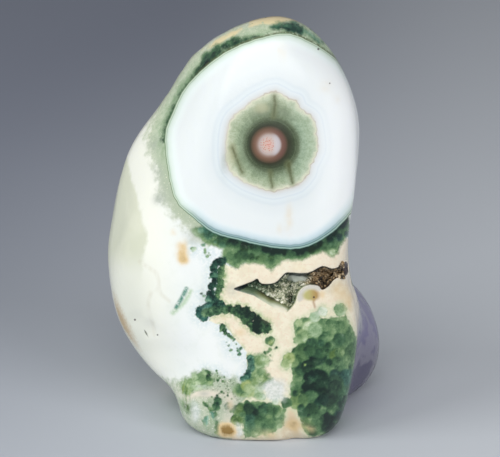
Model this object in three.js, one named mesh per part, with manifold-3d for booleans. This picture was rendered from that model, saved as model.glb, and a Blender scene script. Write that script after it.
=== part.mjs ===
// Ocean jasper: a hand-sized polished freeform that leans back on a small sawn foot,
// with an open druse pocket across its lower right side.
//
// Units are millimetres and +Z is up. The stone stands on z = 0, and its bounding box is
// centred on x = 0 and y = 0. The polished face looks toward -Y and leans back.
//
// The form is worked out in the "face frame" of the polished face:
//   u runs across the face to the viewer's right,
//   v runs up the leaning face,
//   w runs straight out of the face, toward the viewer.

import * as THREE from 'three';
import { mergeVertices } from 'three/addons/utils/BufferGeometryUtils.js';
import Module from 'manifold-3d';

const wasm = await Module();
wasm.setup();

// ---------------------------------------------------------------- driving dimensions

const LEAN = THREE.MathUtils.degToRad(20);      // how far the face leans back
const FLOOR_DROP = 1.75;                        // floor below the face frame's origin
const FOOT_CUT = 0.35;                          // how far the sawn foot cuts into the rounding
const FOOT_ROUND = 2.2;                         // softened edge around the foot

// Outline of the stone in the face frame, (u, v), clockwise from the top.
const OUTLINE = [
  [4.2, 61.1], [8.8, 59.8], [12.2, 56.5], [14.6, 51.8], [16.0, 46.6], [16.3, 41.0],
  [16.0, 35.6], [15.2, 30.6], [14.7, 26.4], [14.9, 22.6], [16.0, 18.6], [16.4, 13.6],
  [15.6, 8.0], [14.0, 3.0], [11.4, -1.0], [6.0, -3.2], [0.0, -3.4], [-4.8, -1.8],
  [-8.2, 1.6], [-10.2, 6.0], [-13.3, 9.4], [-17.0, 14.4], [-19.4, 19.9], [-20.2, 26.4],
  [-19.5, 33.2], [-17.3, 40.0], [-14.4, 46.0], [-10.8, 51.4], [-7.0, 55.8], [-1.8, 59.4],
];
const OUTLINE_STEPS = 6;                        // chords between two outline points

// Slight doming of the polished face, and the depth of the back below it.
const FACE_CENTRE = [4, 34];
const FACE_RADIUS_U = 75;
const FACE_RADIUS_V = 260;
const BACK_DEPTH_FOOT = 31;                     // face to back at the foot
const BACK_DEPTH_TOP = 12.5;                    // face to back near the top
const BACK_BULGE = 4.5;                         // extra depth half-way up

// Rounding between the face and the sides: [inward reach, depth].
const ROUND_RIGHT = [5.0, 5.2];
const ROUND_LEFT = [14.0, 14.5];
const ROUND_TOP = [6.5, 8.0];
const ROUND_FOOT = [4.0, 4.6];
const ROUND_BACK = [14.5, 15.0];
const ROUND_BACK_TOP = [8.0, 8.0];
const ROUND_POWER = 2.5;                        // above 2, a rounding eases in and out

// Low lobe on the rear right side, which reaches past the face's right edge.
const LOBE_CENTRE = [11.2, 12.8, -20.5];
const LOBE_RADII = [8.7, 10.0, 9.2];
const LOBE_BLEND = 3.0;

// Small hollows in the skin: [u, v, w, depth, spread].
const HOLLOWS = [
  [-6.6, 56.4, -4.0, 0.5, 1.8],                 // dent on the upper left shoulder
  [7.0, 0.6, -2.5, 1.3, 1.5],                   // chip in the foot's front edge
  [-14.2, 15.2, -6.5, 1.1, 1.0],                // pit on the lower left flank
  [-15.9, 16.6, -8.5, 0.5, 0.9],
  [-12.6, 14.4, -4.5, 0.45, 0.8],
];

// Open pocket: its rim in the face frame, (u, v), clockwise from the left tip.
const POCKET_RIM = [
  [-1.7, 21.0], [-0.3, 21.9], [1.6, 22.7], [2.6, 22.1], [4.2, 22.2], [5.4, 23.1],
  [6.4, 23.7], [8.7, 23.7], [10.6, 24.7], [13.0, 24.7], [14.3, 25.6], [17.5, 27.0],
  [18.0, 22.2], [13.4, 23.0], [12.2, 22.2], [11.2, 21.1], [9.2, 21.3], [7.9, 20.6],
  [6.9, 18.8], [5.4, 17.6], [3.5, 18.8], [1.2, 20.2],
];
const POCKET_RIM_STEPS = 2;
const POCKET_DEPTH = 4.2;                       // depth of the floor at the pocket's middle
const POCKET_MIDDLE = [7.5, 21.8];
const POCKET_FLOOR_TILT = THREE.MathUtils.degToRad(22);  // the floor rises to the lower rim
const POCKET_FLARE = 0.10;                      // how much the mouth opens out
const POCKET_BELOW = 14;                        // the cutter's reach below the face
const POCKET_ABOVE = 4;                         // and above it

// Druse crust on the pocket's floor.
const CRUST_GAP = 0.32;
const CRUST_THICKNESS = 0.9;
const CRYSTAL_COUNT = 120;
const CRYSTAL_HEIGHT = [0.9, 1.9];
const CRYSTAL_RADIUS = [0.38, 0.72];
const CRYSTAL_LEAN = 0.45;                      // largest lean of a crystal, in radians
const CRYSTAL_SIDES = 6;
const CRYSTAL_ROOT = 0.25;                      // how deep a crystal is set in the crust
const CRYSTAL_INSIDE = 0.8;                     // its distance from the rim, in its own radii
const CRYSTAL_FIELD_U = [-1, 17];               // where crystals are sought
const CRYSTAL_FIELD_V = [17, 26];
const CRYSTAL_SEED = 11;

// Fineness of the stone's facets, and the point that its surface is sought from.
const STONE_DETAIL = 16;
const STONE_HEART = [1.0, 26.0, -12.5];
const STONE_REACH = [19.0, 31.0, 15.0];
const SEARCH_LENGTH = 70;
const SEARCH_HALVINGS = 34;

// ---------------------------------------------------------------- face frame

const FACE_U = new THREE.Vector3(1, 0, 0);
const FACE_V = new THREE.Vector3(0, Math.sin(LEAN), Math.cos(LEAN));
const FACE_W = new THREE.Vector3(0, -Math.cos(LEAN), Math.sin(LEAN));
const faceToPart = new THREE.Matrix4().makeBasis(FACE_U, FACE_V, FACE_W);
faceToPart.setPosition(0, 0, FLOOR_DROP);

function mix(a, b, t) {
  return a + (b - a) * t;
}

function smoothstep(low, high, x) {
  const t = THREE.MathUtils.clamp((x - low) / (high - low), 0, 1);
  return t * t * (3 - 2 * t);
}

// Closed Catmull-Rom curve through the points, as a list of corners.
function closedCurve(points, steps) {
  const corners = points.map(([u, v]) => new THREE.Vector3(u, v, 0));
  const curve = new THREE.CatmullRomCurve3(corners, true, 'catmullrom', 0.5);
  return curve.getPoints(points.length * steps).slice(0, -1);
}

// Signed distance from (u, v) to a closed outline, negative inside.
function outlineDistance(corners, u, v) {
  let nearest = Infinity;
  let inside = false;
  for (let i = 0, j = corners.length - 1; i < corners.length; j = i, i += 1) {
    const a = corners[j];
    const b = corners[i];
    const edgeU = b.x - a.x;
    const edgeV = b.y - a.y;
    const along = ((u - a.x) * edgeU + (v - a.y) * edgeV) / (edgeU * edgeU + edgeV * edgeV);
    const t = THREE.MathUtils.clamp(along, 0, 1);
    nearest = Math.min(nearest, Math.hypot(u - a.x - t * edgeU, v - a.y - t * edgeV));
    if ((a.y > v) !== (b.y > v) && u < a.x + (edgeU * (v - a.y)) / edgeV) {
      inside = !inside;
    }
  }
  return inside ? -nearest : nearest;
}

// ---------------------------------------------------------------- stone

const stoneOutline = closedCurve(OUTLINE, OUTLINE_STEPS);

// Two faces that meet in a superelliptical rounding: the side wall and a broad face.
function roundedEdge(side, broad, [reach, depth]) {
  const across = Math.max(0, 1 + side / reach) ** ROUND_POWER;
  const out = Math.max(0, 1 + broad / depth) ** ROUND_POWER;
  return ((across + out) ** (1 / ROUND_POWER) - 1) * Math.min(reach, depth);
}

// Rounding of the face's edge at (u, v): tight on the right, wide on the left flank.
function edgeRounding(u, v) {
  const left = smoothstep(4, -11, u) * smoothstep(3, 13, v);
  const top = smoothstep(46, 56, v) * (1 - 0.6 * left);
  const foot = smoothstep(9, 3, v);
  return [0, 1].map((i) => {
    const side = mix(ROUND_RIGHT[i], ROUND_LEFT[i], left);
    return mix(mix(side, ROUND_TOP[i], top), ROUND_FOOT[i], foot);
  });
}

function backRounding(v) {
  const top = smoothstep(30, 58, v);
  return [0, 1].map((i) => mix(ROUND_BACK[i], ROUND_BACK_TOP[i], top));
}

function faceHeight(u, v) {
  const du = u - FACE_CENTRE[0];
  const dv = v - FACE_CENTRE[1];
  return -(du * du) / (2 * FACE_RADIUS_U) - (dv * dv) / (2 * FACE_RADIUS_V);
}

function backDepth(v) {
  const t = THREE.MathUtils.clamp(v / 60, 0, 1);
  return mix(BACK_DEPTH_FOOT, BACK_DEPTH_TOP, t) + BACK_BULGE * Math.sin(Math.PI * t);
}

// Smallest of two fields, blended over a width.
function blendedUnion(a, b, width) {
  const t = THREE.MathUtils.clamp(0.5 + (0.5 * (b - a)) / width, 0, 1);
  return mix(b, a, t) - width * t * (1 - t);
}

// Slow swells that keep the unpolished flank and back from looking turned.
function swell(u, v, w) {
  const flank = smoothstep(-3, -12, w);
  const waves = Math.sin(0.31 * u + 0.22 * v + 0.9)
    + Math.sin(0.27 * v - 0.36 * w + 2.1)
    + Math.sin(0.42 * w - 0.25 * u + 0.4);
  return 0.28 * flank * waves;
}

// Height of the point over the floor that the stone stands on.
function heightOverFloor(v, w) {
  return v * FACE_V.z + w * FACE_W.z + FLOOR_DROP;
}

// Field of the stone's skin: negative inside, about in millimetres near the surface.
function stoneField(u, v, w) {
  const side = outlineDistance(stoneOutline, u, v);
  const front = roundedEdge(side, w - faceHeight(u, v), edgeRounding(u, v));
  const back = roundedEdge(side, -w - backDepth(v), backRounding(v));
  const lobe = Math.hypot(
    (u - LOBE_CENTRE[0]) / LOBE_RADII[0],
    (v - LOBE_CENTRE[1]) / LOBE_RADII[1],
    (w - LOBE_CENTRE[2]) / LOBE_RADII[2],
  );
  const lobeField = (lobe - 1) * Math.min(...LOBE_RADII);
  let field = blendedUnion(Math.max(front, back), lobeField, LOBE_BLEND) + swell(u, v, w);
  for (const [hu, hv, hw, depth, spread] of HOLLOWS) {
    const away = Math.hypot(u - hu, v - hv, w - hw) / spread;
    field += depth * Math.exp(-away * away);
  }
  const floor = -(heightOverFloor(v, w) + FOOT_CUT);
  return roundedEdge(field, floor, [FOOT_ROUND, FOOT_ROUND]);
}

// Distance from the stone's heart to its skin along a direction of the face frame.
function skinDistance(direction) {
  let inside = 0;
  let outside = SEARCH_LENGTH;
  for (let i = 0; i < SEARCH_HALVINGS; i += 1) {
    const middle = (inside + outside) / 2;
    const u = STONE_HEART[0] + direction.x * middle;
    const v = STONE_HEART[1] + direction.y * middle;
    const w = STONE_HEART[2] + direction.z * middle;
    if (stoneField(u, v, w) < 0) {
      inside = middle;
    } else {
      outside = middle;
    }
  }
  return inside;
}

// ---------------------------------------------------------------- solids

// Makes a solid for cutting and joining, from a geometry placed in the part's frame.
function toSolid(geometry, placement = new THREE.Matrix4()) {
  const plain = geometry.clone().applyMatrix4(placement);
  plain.deleteAttribute('normal');
  plain.deleteAttribute('uv');
  const merged = mergeVertices(plain, 1e-5);
  return new wasm.Manifold(new wasm.Mesh({
    numProp: 3,
    vertProperties: new Float32Array(merged.attributes.position.array),
    triVerts: new Uint32Array(merged.index.array),
  }));
}

function toGeometry(solid) {
  const mesh = solid.getMesh();
  const geometry = new THREE.BufferGeometry();
  geometry.setAttribute('position', new THREE.BufferAttribute(mesh.vertProperties, 3));
  geometry.setIndex(new THREE.BufferAttribute(mesh.triVerts, 1));
  geometry.computeVertexNormals();
  return geometry;
}

function makeRoughStone() {
  const ball = new THREE.IcosahedronGeometry(1, STONE_DETAIL);
  ball.deleteAttribute('normal');
  ball.deleteAttribute('uv');
  const skin = mergeVertices(ball, 1e-5);
  const place = skin.attributes.position;
  const heart = new THREE.Vector3(...STONE_HEART);
  const reach = new THREE.Vector3(...STONE_REACH);
  const point = new THREE.Vector3();
  for (let i = 0; i < place.count; i += 1) {
    point.fromBufferAttribute(place, i).multiply(reach).normalize();
    point.multiplyScalar(skinDistance(point)).add(heart).applyMatrix4(faceToPart);
    place.setXYZ(i, point.x, point.y, point.z);
  }
  return toSolid(skin);
}

// Everything above the floor, as one big block.
function makeAboveFloor() {
  const size = 4 * SEARCH_LENGTH;
  const block = new THREE.BoxGeometry(size, size, size);
  return toSolid(block, new THREE.Matrix4().makeTranslation(0, 0, size / 2));
}

// Prism over the pocket's rim. Inset pulls its walls in, evenly all round.
function makePocketPrism(inset) {
  const rim = closedCurve(POCKET_RIM, POCKET_RIM_STEPS).reverse();
  const shape = new THREE.Shape(rim.map((p, i) => {
    const before = rim[(i + rim.length - 1) % rim.length];
    const after = rim[(i + 1) % rim.length];
    const run = new THREE.Vector2(after.x - before.x, after.y - before.y).normalize();
    return new THREE.Vector2(p.x - run.y * inset, p.y + run.x * inset);
  }));
  const prism = new THREE.ExtrudeGeometry(shape, {
    depth: POCKET_ABOVE + POCKET_BELOW,
    bevelEnabled: false,
    steps: 1,
  });
  prism.translate(0, 0, -POCKET_BELOW);
  const place = prism.attributes.position;
  for (let i = 0; i < place.count; i += 1) {
    const flare = 1 + POCKET_FLARE * (place.getZ(i) / POCKET_DEPTH);
    const u = POCKET_MIDDLE[0] + (place.getX(i) - POCKET_MIDDLE[0]) * flare;
    const v = POCKET_MIDDLE[1] + (place.getY(i) - POCKET_MIDDLE[1]) * flare;
    place.setXYZ(i, u, v, place.getZ(i));
  }
  return toSolid(prism, faceToPart);
}

// Frame of the pocket's floor: its origin lies on the floor under the pocket's middle.
function floorFrame(lift) {
  const tilt = new THREE.Matrix4().makeRotationX(-POCKET_FLOOR_TILT);
  const raise = new THREE.Matrix4().makeTranslation(0, 0, lift);
  const drop = new THREE.Matrix4().makeTranslation(...POCKET_MIDDLE, -POCKET_DEPTH);
  return faceToPart.clone().multiply(drop).multiply(tilt).multiply(raise);
}

// Block over the pocket's floor, from one height above it to another.
function makeFloorSlab(from, to) {
  const slab = new THREE.BoxGeometry(60, 60, to - from);
  slab.translate(0, 0, (from + to) / 2);
  return toSolid(slab, floorFrame(0));
}

function makeStone(roughStone) {
  const pocket = makePocketPrism(0).intersect(makeFloorSlab(0, 30));
  return roughStone.intersect(makeAboveFloor()).subtract(pocket);
}

// ---------------------------------------------------------------- druse

// Repeatable random numbers between 0 and 1.
function makeRandom(seed) {
  let state = seed;
  return () => {
    state = (state * 1664525 + 1013904223) % 4294967296;
    return state / 4294967296;
  };
}

// Crystals stand on the crust's top, scattered over the pocket's floor. Where the pocket
// runs out at the stone's side, the crust ends at the stone's skin.
function makeDruse(roughStone) {
  const random = makeRandom(CRYSTAL_SEED);
  const between = ([low, high]) => mix(low, high, random());
  const rim = closedCurve(POCKET_RIM, POCKET_RIM_STEPS);
  const well = makePocketPrism(CRUST_GAP);
  let druse = makeFloorSlab(CRUST_GAP, CRUST_GAP + CRUST_THICKNESS);
  let placed = 0;
  while (placed < CRYSTAL_COUNT) {
    const u = between(CRYSTAL_FIELD_U);
    const v = between(CRYSTAL_FIELD_V);
    const height = between(CRYSTAL_HEIGHT);
    const radius = between(CRYSTAL_RADIUS);
    const leanU = (random() - 0.5) * 2 * CRYSTAL_LEAN;
    const leanV = (random() - 0.5) * 2 * CRYSTAL_LEAN;
    const turn = random() * Math.PI;
    if (outlineDistance(rim, u, v) > -radius * CRYSTAL_INSIDE) {
      continue;
    }
    const cone = new THREE.ConeGeometry(radius, height, CRYSTAL_SIDES);
    cone.rotateX(Math.PI / 2);
    cone.rotateZ(turn);
    cone.translate(0, 0, height / 2 - CRYSTAL_ROOT);
    cone.rotateX(leanU);
    cone.rotateY(leanV);
    const alongFloor = (v - POCKET_MIDDLE[1]) / Math.cos(POCKET_FLOOR_TILT);
    cone.translate(u - POCKET_MIDDLE[0], alongFloor, 0);
    druse = druse.add(toSolid(cone, floorFrame(CRUST_GAP + CRUST_THICKNESS)));
    placed += 1;
  }
  return druse.intersect(well).intersect(roughStone);
}

// ---------------------------------------------------------------- part

const stoneMaterial = new THREE.MeshStandardMaterial({
  color: 0xcfd0bf,
  roughness: 0.22,
  metalness: 0,
});
const druseMaterial = new THREE.MeshStandardMaterial({
  color: 0x7a6c55,
  roughness: 0.45,
  metalness: 0,
  flatShading: true,
});

const roughStone = makeRoughStone();

const stone = new THREE.Mesh(toGeometry(makeStone(roughStone)), stoneMaterial);
stone.name = 'stone';

const druse = new THREE.Mesh(toGeometry(makeDruse(roughStone)), druseMaterial);
druse.name = 'druse_crust';

const group = new THREE.Group();
group.add(stone, druse);

// The stone's bounding box is centred over the origin.
const box = new THREE.Box3().setFromObject(stone);
const middle = box.getCenter(new THREE.Vector3());
group.position.set(-middle.x, -middle.y, 0);

export default group;
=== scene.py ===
# %% [markdown]
# # A polished ocean jasper freeform
#
# This lesson dresses one stone. The real thing is a hand-sized lump of orbicular jasper: beach
# or mine rough that was ground on wheels, tumbled to a high polish and given a small sawn foot,
# so that it leans back and shows its big white orb. The packed model below already has the
# stone's size and its collision shape. Everything here is drawn around that fixed frame.

# %% Load the packed model
import math

import bmesh
import bpy
import numpy as np
from mathutils import Matrix, Vector


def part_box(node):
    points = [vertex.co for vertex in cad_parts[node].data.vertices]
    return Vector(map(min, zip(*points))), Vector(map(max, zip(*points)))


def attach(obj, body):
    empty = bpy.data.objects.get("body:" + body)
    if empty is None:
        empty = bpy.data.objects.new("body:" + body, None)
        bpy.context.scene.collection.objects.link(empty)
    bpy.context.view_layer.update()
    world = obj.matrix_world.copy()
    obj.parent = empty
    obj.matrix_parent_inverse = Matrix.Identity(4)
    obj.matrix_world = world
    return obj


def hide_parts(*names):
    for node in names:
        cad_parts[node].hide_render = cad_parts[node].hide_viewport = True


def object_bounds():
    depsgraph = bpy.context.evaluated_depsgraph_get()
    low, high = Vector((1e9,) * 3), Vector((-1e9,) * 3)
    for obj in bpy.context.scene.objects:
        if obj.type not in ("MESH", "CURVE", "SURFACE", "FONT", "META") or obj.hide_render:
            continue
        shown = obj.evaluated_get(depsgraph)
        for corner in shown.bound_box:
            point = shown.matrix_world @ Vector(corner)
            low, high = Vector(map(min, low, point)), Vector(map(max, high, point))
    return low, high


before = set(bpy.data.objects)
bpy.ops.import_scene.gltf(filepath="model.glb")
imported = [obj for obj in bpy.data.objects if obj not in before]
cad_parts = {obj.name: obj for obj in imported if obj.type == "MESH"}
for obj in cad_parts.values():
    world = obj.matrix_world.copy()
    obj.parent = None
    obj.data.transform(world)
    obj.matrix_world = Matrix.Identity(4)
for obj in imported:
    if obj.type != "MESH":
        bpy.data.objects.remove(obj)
cad_low, cad_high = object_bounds()
MM = 0.001
size_mm = [round((high - low) / MM, 2) for low, high in zip(cad_low, cad_high)]
print("packed model, mm:", size_mm)

# %% [markdown]
# ## The face frame
#
# A lapidary thinks of this stone from its show face, and so does this script. Its pattern and
# its form are worked out in the "face frame": u runs across the face, v runs up the leaning
# face and w comes straight out of it, all in millimetres. A face frame could be an empty that
# everything is parented to. Plain functions are simpler, because a finished piece has to end up
# with its place in its mesh.

# %% The face frame
LEAN = math.radians(20.0)
FLOOR_DROP = 1.75
UP_V, UP_W = math.cos(LEAN), math.sin(LEAN)


def face_to_part(u, v, w):
    """The part's x, y and z in mm, before the stone is centred over the origin."""
    return u, v * UP_W - w * UP_V, v * UP_V + w * UP_W + FLOOR_DROP


def mix(a, b, t):
    return a + (b - a) * t


def smooth(low, high, x):
    """0 below low and 1 above high, with an easy slope between. Low may be the larger one."""
    t = np.clip((x - low) / (high - low), 0.0, 1.0)
    return t * t * (3.0 - 2.0 * t)


# %% [markdown]
# ## The outline and its distance
#
# Seen square on, the stone is a lopsided egg with a waist at its pocket and a flat foot. The
# outline is a closed curve through some thirty points. The form needs to know how far any
# point is from that curve, for tens of thousands of points at a time, so the distance is worked
# out once on a fine grid and read back with a smooth cubic. Reading it straight would be exact
# too, but slow.

# %% The outline of the face
OUTLINE = [
    (4.2, 61.1), (8.8, 59.8), (12.2, 56.5), (14.6, 51.8), (16.0, 46.6), (16.3, 41.0),
    (16.0, 35.6), (15.2, 30.6), (14.7, 26.4), (14.9, 22.6), (16.0, 18.6), (16.4, 13.6),
    (15.6, 8.0), (14.0, 3.0), (11.4, -1.0), (6.0, -3.2), (0.0, -3.4), (-4.8, -1.8),
    (-8.2, 1.6), (-10.2, 6.0), (-13.3, 9.4), (-17.0, 14.4), (-19.5, 19.9), (-20.6, 26.4),
    (-19.5, 33.2), (-17.3, 40.0), (-14.4, 46.0), (-10.8, 51.4), (-7.0, 55.8), (-1.8, 59.4),
]
OUTLINE_STEPS = 6
ENDLESS = 1e9


def closed_curve(points, steps):
    """Closed Catmull-Rom curve through the points, as corners."""
    here = np.array([p[:2] for p in points], float)
    before, after = np.roll(here, 1, 0), np.roll(here, -1, 0)
    later = np.roll(here, -2, 0)
    square = 2 * before - 5 * here + 4 * after - later
    cube = 3 * here - before - 3 * after + later
    rows = [0.5 * (2 * here + (after - before) * t + square * t * t + cube * t ** 3)
            for t in np.arange(steps) / steps]
    return np.stack(rows, 1).reshape(-1, 2)


def run_distance(corners, u, v, closed=True):
    """Distance to a run of corners. A closed run counts as negative inside."""
    nearest = np.full(np.shape(u), ENDLESS)
    inside = np.zeros(np.shape(u), bool)
    ends = np.roll(corners, -1, 0) if closed else corners[1:]
    for (au, av), (bu, bv) in zip(corners, ends):
        eu, ev = bu - au, bv - av
        t = np.clip(((u - au) * eu + (v - av) * ev) / (eu * eu + ev * ev), 0.0, 1.0)
        nearest = np.minimum(nearest, (u - au - t * eu) ** 2 + (v - av - t * ev) ** 2)
        if closed and av != bv:
            inside ^= ((av > v) != (bv > v)) & (u < au + (v - av) * eu / ev)
    return np.where(inside, -1.0, 1.0) * np.sqrt(nearest)


class DistanceMap:
    """A closed outline's distance on a grid, read back with a smooth cubic."""

    def __init__(self, corners, low, high, step):
        self.low, self.step = low, step
        us = np.arange(low[0], high[0], step)
        vs = np.arange(low[1], high[1], step)
        self.grid = run_distance(corners, *np.meshgrid(us, vs, indexing="ij"))

    def place(self, x, axis):
        x = (x - self.low[axis]) / self.step
        cell = np.clip(x.astype(int), 1, self.grid.shape[axis] - 3)
        f = np.clip(x - cell, 0.0, 1.0)
        weights = (f * (f * (1 - 0.5 * f) - 0.5), 1 + f * f * (1.5 * f - 2.5),
                   f * (0.5 + f * (2 - 1.5 * f)), f * f * (0.5 * f - 0.5))
        return cell, weights

    def __call__(self, u, v):
        cell_u, weight_u = self.place(u, 0)
        cell_v, weight_v = self.place(v, 1)
        total = 0.0
        for i in range(4):
            for j in range(4):
                near = self.grid[cell_u + i - 1, cell_v + j - 1]
                total = total + weight_u[i] * weight_v[j] * near
        return total


MAP_LOW, MAP_HIGH, MAP_STEP = (-34, -26), (36, 84), 0.3
outline_distance = DistanceMap(closed_curve(OUTLINE, OUTLINE_STEPS), MAP_LOW, MAP_HIGH, MAP_STEP)
print("outline grid:", outline_distance.grid.shape)

# %% [markdown]
# ## The form
#
# The wheel left this stone with a nearly flat, slightly domed face, a tight rounding on its
# right edge, a long soft flank on its left and a fat back with a lobe low on the right. Such a
# form could be sculpted by hand, but it has to follow the packed solid within a few tenths of
# a millimetre. So it is a field: a function that is negative inside the stone and zero on its
# skin. Roundings are superellipses, which ease in and out as a polisher's hand does.

# %% Parts of the form
FACE_CENTRE = (4.0, 34.0)
FACE_RADIUS_U, FACE_RADIUS_V = 75.0, 260.0
BACK_FOOT, BACK_TOP, BACK_BULGE, BACK_HEIGHT = 31.0, 12.5, 4.5, 60.0
ROUND_RIGHT, ROUND_LEFT = (5.0, 5.2), (14.0, 14.5)
ROUND_TOP, ROUND_FOOT = (6.5, 8.0), (4.0, 4.6)
ROUND_BACK, ROUND_BACK_TOP = (14.5, 15.0), (8.0, 8.0)
ROUND_POWER = 2.5
LEFT_U, LEFT_V, LEFT_AT_TOP = (4.0, -11.0), (3.0, 13.0), 0.6
TOP_V, FOOT_V, BACK_TOP_V = (46.0, 56.0), (9.0, 3.0), (30.0, 58.0)
SWELL, SWELL_W = 0.28, (-3.0, -12.0)
LOBE_CENTRE, LOBE_RADII, LOBE_BLEND = (11.2, 12.8, -20.5), (8.7, 10.0, 9.2), 3.0
FOOT_CUT, FOOT_ROUND = 0.35, (2.2, 2.2)
HOLLOWS = [
    (-6.6, 56.4, -4.0, 0.5, 1.8), (7.0, 0.6, -2.5, 1.3, 1.5), (-14.2, 15.2, -6.5, 1.1, 1.0),
    (-15.9, 16.6, -8.5, 0.5, 0.9), (-12.6, 14.4, -4.5, 0.45, 0.8),
]


def rounded_edge(side, broad, reach, depth):
    """Two distances joined by a superellipse that starts at a reach and a depth."""
    across = np.maximum(0.0, 1 + side / reach) ** ROUND_POWER
    out = np.maximum(0.0, 1 + broad / depth) ** ROUND_POWER
    return ((across + out) ** (1 / ROUND_POWER) - 1) * np.minimum(reach, depth)


def edge_rounding(u, v, i):
    """The front edge's rounding: its reach where i is 0 and its depth where i is 1."""
    left = smooth(*LEFT_U, u) * smooth(*LEFT_V, v)
    top = smooth(*TOP_V, v) * (1 - LEFT_AT_TOP * left)
    side = mix(mix(ROUND_RIGHT[i], ROUND_LEFT[i], left), ROUND_TOP[i], top)
    return mix(side, ROUND_FOOT[i], smooth(*FOOT_V, v))


def face_height(u, v):
    """The domed face's w."""
    du, dv = u - FACE_CENTRE[0], v - FACE_CENTRE[1]
    return -du * du / (2 * FACE_RADIUS_U) - dv * dv / (2 * FACE_RADIUS_V)


def back_depth(v):
    """How far the back lies behind the face's plane."""
    t = np.clip(v / BACK_HEIGHT, 0.0, 1.0)
    return mix(BACK_FOOT, BACK_TOP, t) + BACK_BULGE * np.sin(math.pi * t)


def swell(u, v, w):
    """Slow waves that keep the flanks and the back from being too even."""
    waves = np.sin(0.31 * u + 0.22 * v + 0.9) + np.sin(0.27 * v - 0.36 * w + 2.1)
    return SWELL * smooth(*SWELL_W, w) * (waves + np.sin(0.42 * w - 0.25 * u + 0.4))


print("back's depth at half height, mm:", round(float(back_depth(BACK_HEIGHT / 2)), 1))

# %% The whole field


def stone_field(u, v, w):
    """Negative inside the stone and zero on its skin."""
    side = outline_distance(u, v)
    front = rounded_edge(side, w - face_height(u, v), edge_rounding(u, v, 0),
                         edge_rounding(u, v, 1))
    high = smooth(*BACK_TOP_V, v)
    back = rounded_edge(side, -w - back_depth(v), mix(ROUND_BACK[0], ROUND_BACK_TOP[0], high),
                        mix(ROUND_BACK[1], ROUND_BACK_TOP[1], high))
    lobe = sum(((x - c) / r) ** 2 for x, c, r in zip((u, v, w), LOBE_CENTRE, LOBE_RADII))
    lobe = (np.sqrt(lobe) - 1) * min(LOBE_RADII)
    body = np.maximum(front, back)
    t = np.clip(0.5 + 0.5 * (lobe - body) / LOBE_BLEND, 0.0, 1.0)
    field = mix(lobe, body, t) - LOBE_BLEND * t * (1 - t) + swell(u, v, w)
    for hu, hv, hw, depth, spread in HOLLOWS:
        away = ((u - hu) ** 2 + (v - hv) ** 2 + (w - hw) ** 2) / spread ** 2
        field = field + depth * np.exp(-away)
    floor = -(v * UP_V + w * UP_W + FLOOR_DROP + FOOT_CUT)
    return rounded_edge(field, floor, *FOOT_ROUND)


face_middle = [np.array([c]) for c in (*FACE_CENTRE, 0.0)]
print("field in the face's middle, mm:", stone_field(*face_middle).round(2))

# %% [markdown]
# ## The skin's mesh
#
# The skin starts as a cube that is cut into a grid, one axis at a time. A ball of rings would
# pinch its faces at two poles, and the cube has none. Its front is cut finer at the moss, the
# pocket, the orb's heart and the top rim. Then every vertex is sent out from the stone's heart
# until it meets the skin: the way is halved again and again until the field changes sign within
# a hair.

# %% Cut the cube
CUTS = ((103, 155, 18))
CUBE_SIZE, FRONT_LEVEL = 2.0, 0.999
HEART = (1.0, 26.5, -9.0)
REACH = (19.0, 31.0)
FRONT_REACH, BACK_REACH, LEVEL_POWER = 9.0, 20.0, 1.5
FINE_AREAS = [((-18.0, 17.5), (-3.5, 30.0)), ((-2.8, 17.0), (16.8, 27.6)),
              ((-5.0, 12.0), (34.0, 51.0)), ((-10.0, 14.0), (53.0, 62.0))]


def cut_cube(cuts):
    """A cube whose edges along each axis are cut a given number of times."""
    bm = bmesh.new()
    bmesh.ops.create_cube(bm, size=CUBE_SIZE)
    for axis, count in enumerate(cuts):
        along = [e for e in bm.edges
                 if abs(e.verts[0].co[axis] - e.verts[1].co[axis]) > CUBE_SIZE / 2]
        bmesh.ops.subdivide_edges(bm, edges=along, cuts=count, use_grid_fill=True)
    return bm


def refine(bm, area):
    """Halves the front's edges inside an area of the face."""
    (u0, u1), (v0, v1) = area

    def near(vert):
        u, v = HEART[0] + REACH[0] * vert.co.x, HEART[1] + REACH[1] * vert.co.y
        return vert.co.z > FRONT_LEVEL and u0 < u < u1 and v0 < v < v1

    chosen = [e for e in bm.edges if near(e.verts[0]) and near(e.verts[1])]
    bmesh.ops.subdivide_edges(bm, edges=chosen, cuts=1, use_grid_fill=True)


bm = cut_cube(CUTS)
for area in FINE_AREAS:
    refine(bm, area)
bmesh.ops.recalc_face_normals(bm, faces=bm.faces)
stone_mesh = bpy.data.meshes.new("stone_skin")
bm.to_mesh(stone_mesh)
bm.free()
print("skin vertices:", len(stone_mesh.vertices))

# %% Send each vertex out to the skin
SEARCH_REACH, HALVINGS = 1.6, 24


def read_places(mesh):
    flat = np.empty(3 * len(mesh.vertices))
    mesh.vertices.foreach_get("co", flat)
    return flat.reshape(-1, 3)


cube = read_places(stone_mesh)
level = ((1 - cube[:, 2]) / 2) ** LEVEL_POWER
way = np.stack([REACH[0] * cube[:, 0], REACH[1] * cube[:, 1],
                FRONT_REACH - (FRONT_REACH + BACK_REACH) * level], 1)
inside, outside = np.zeros(len(way)), np.full(len(way), SEARCH_REACH)
for _ in range(HALVINGS):
    middle = (inside + outside) / 2
    within = stone_field(*(HEART[i] + way[:, i] * middle for i in range(3))) < 0
    inside = np.where(within, middle, inside)
    outside = np.where(within, outside, middle)
u, v, w = (HEART[i] + way[:, i] * inside for i in range(3))
print("skin spans, mm:", [(round(x.min(), 1), round(x.max(), 1)) for x in (u, v, w)])

# %% [markdown]
# ## The pocket
#
# Gas or water left an open hollow in the chalcedony, and the wheel cut across it. Its upper
# lip is steep and casts a shadow, its lower left lip is a smooth slope, and its floor is a bed
# of druse. The hollow could be cut with a boolean, but a boolean leaves a hard, ragged seam in
# a dense mesh. Pressing the vertices in is cleaner: those near the rim are first snapped on to
# it, so the edge of the hollow is crisp.

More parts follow.
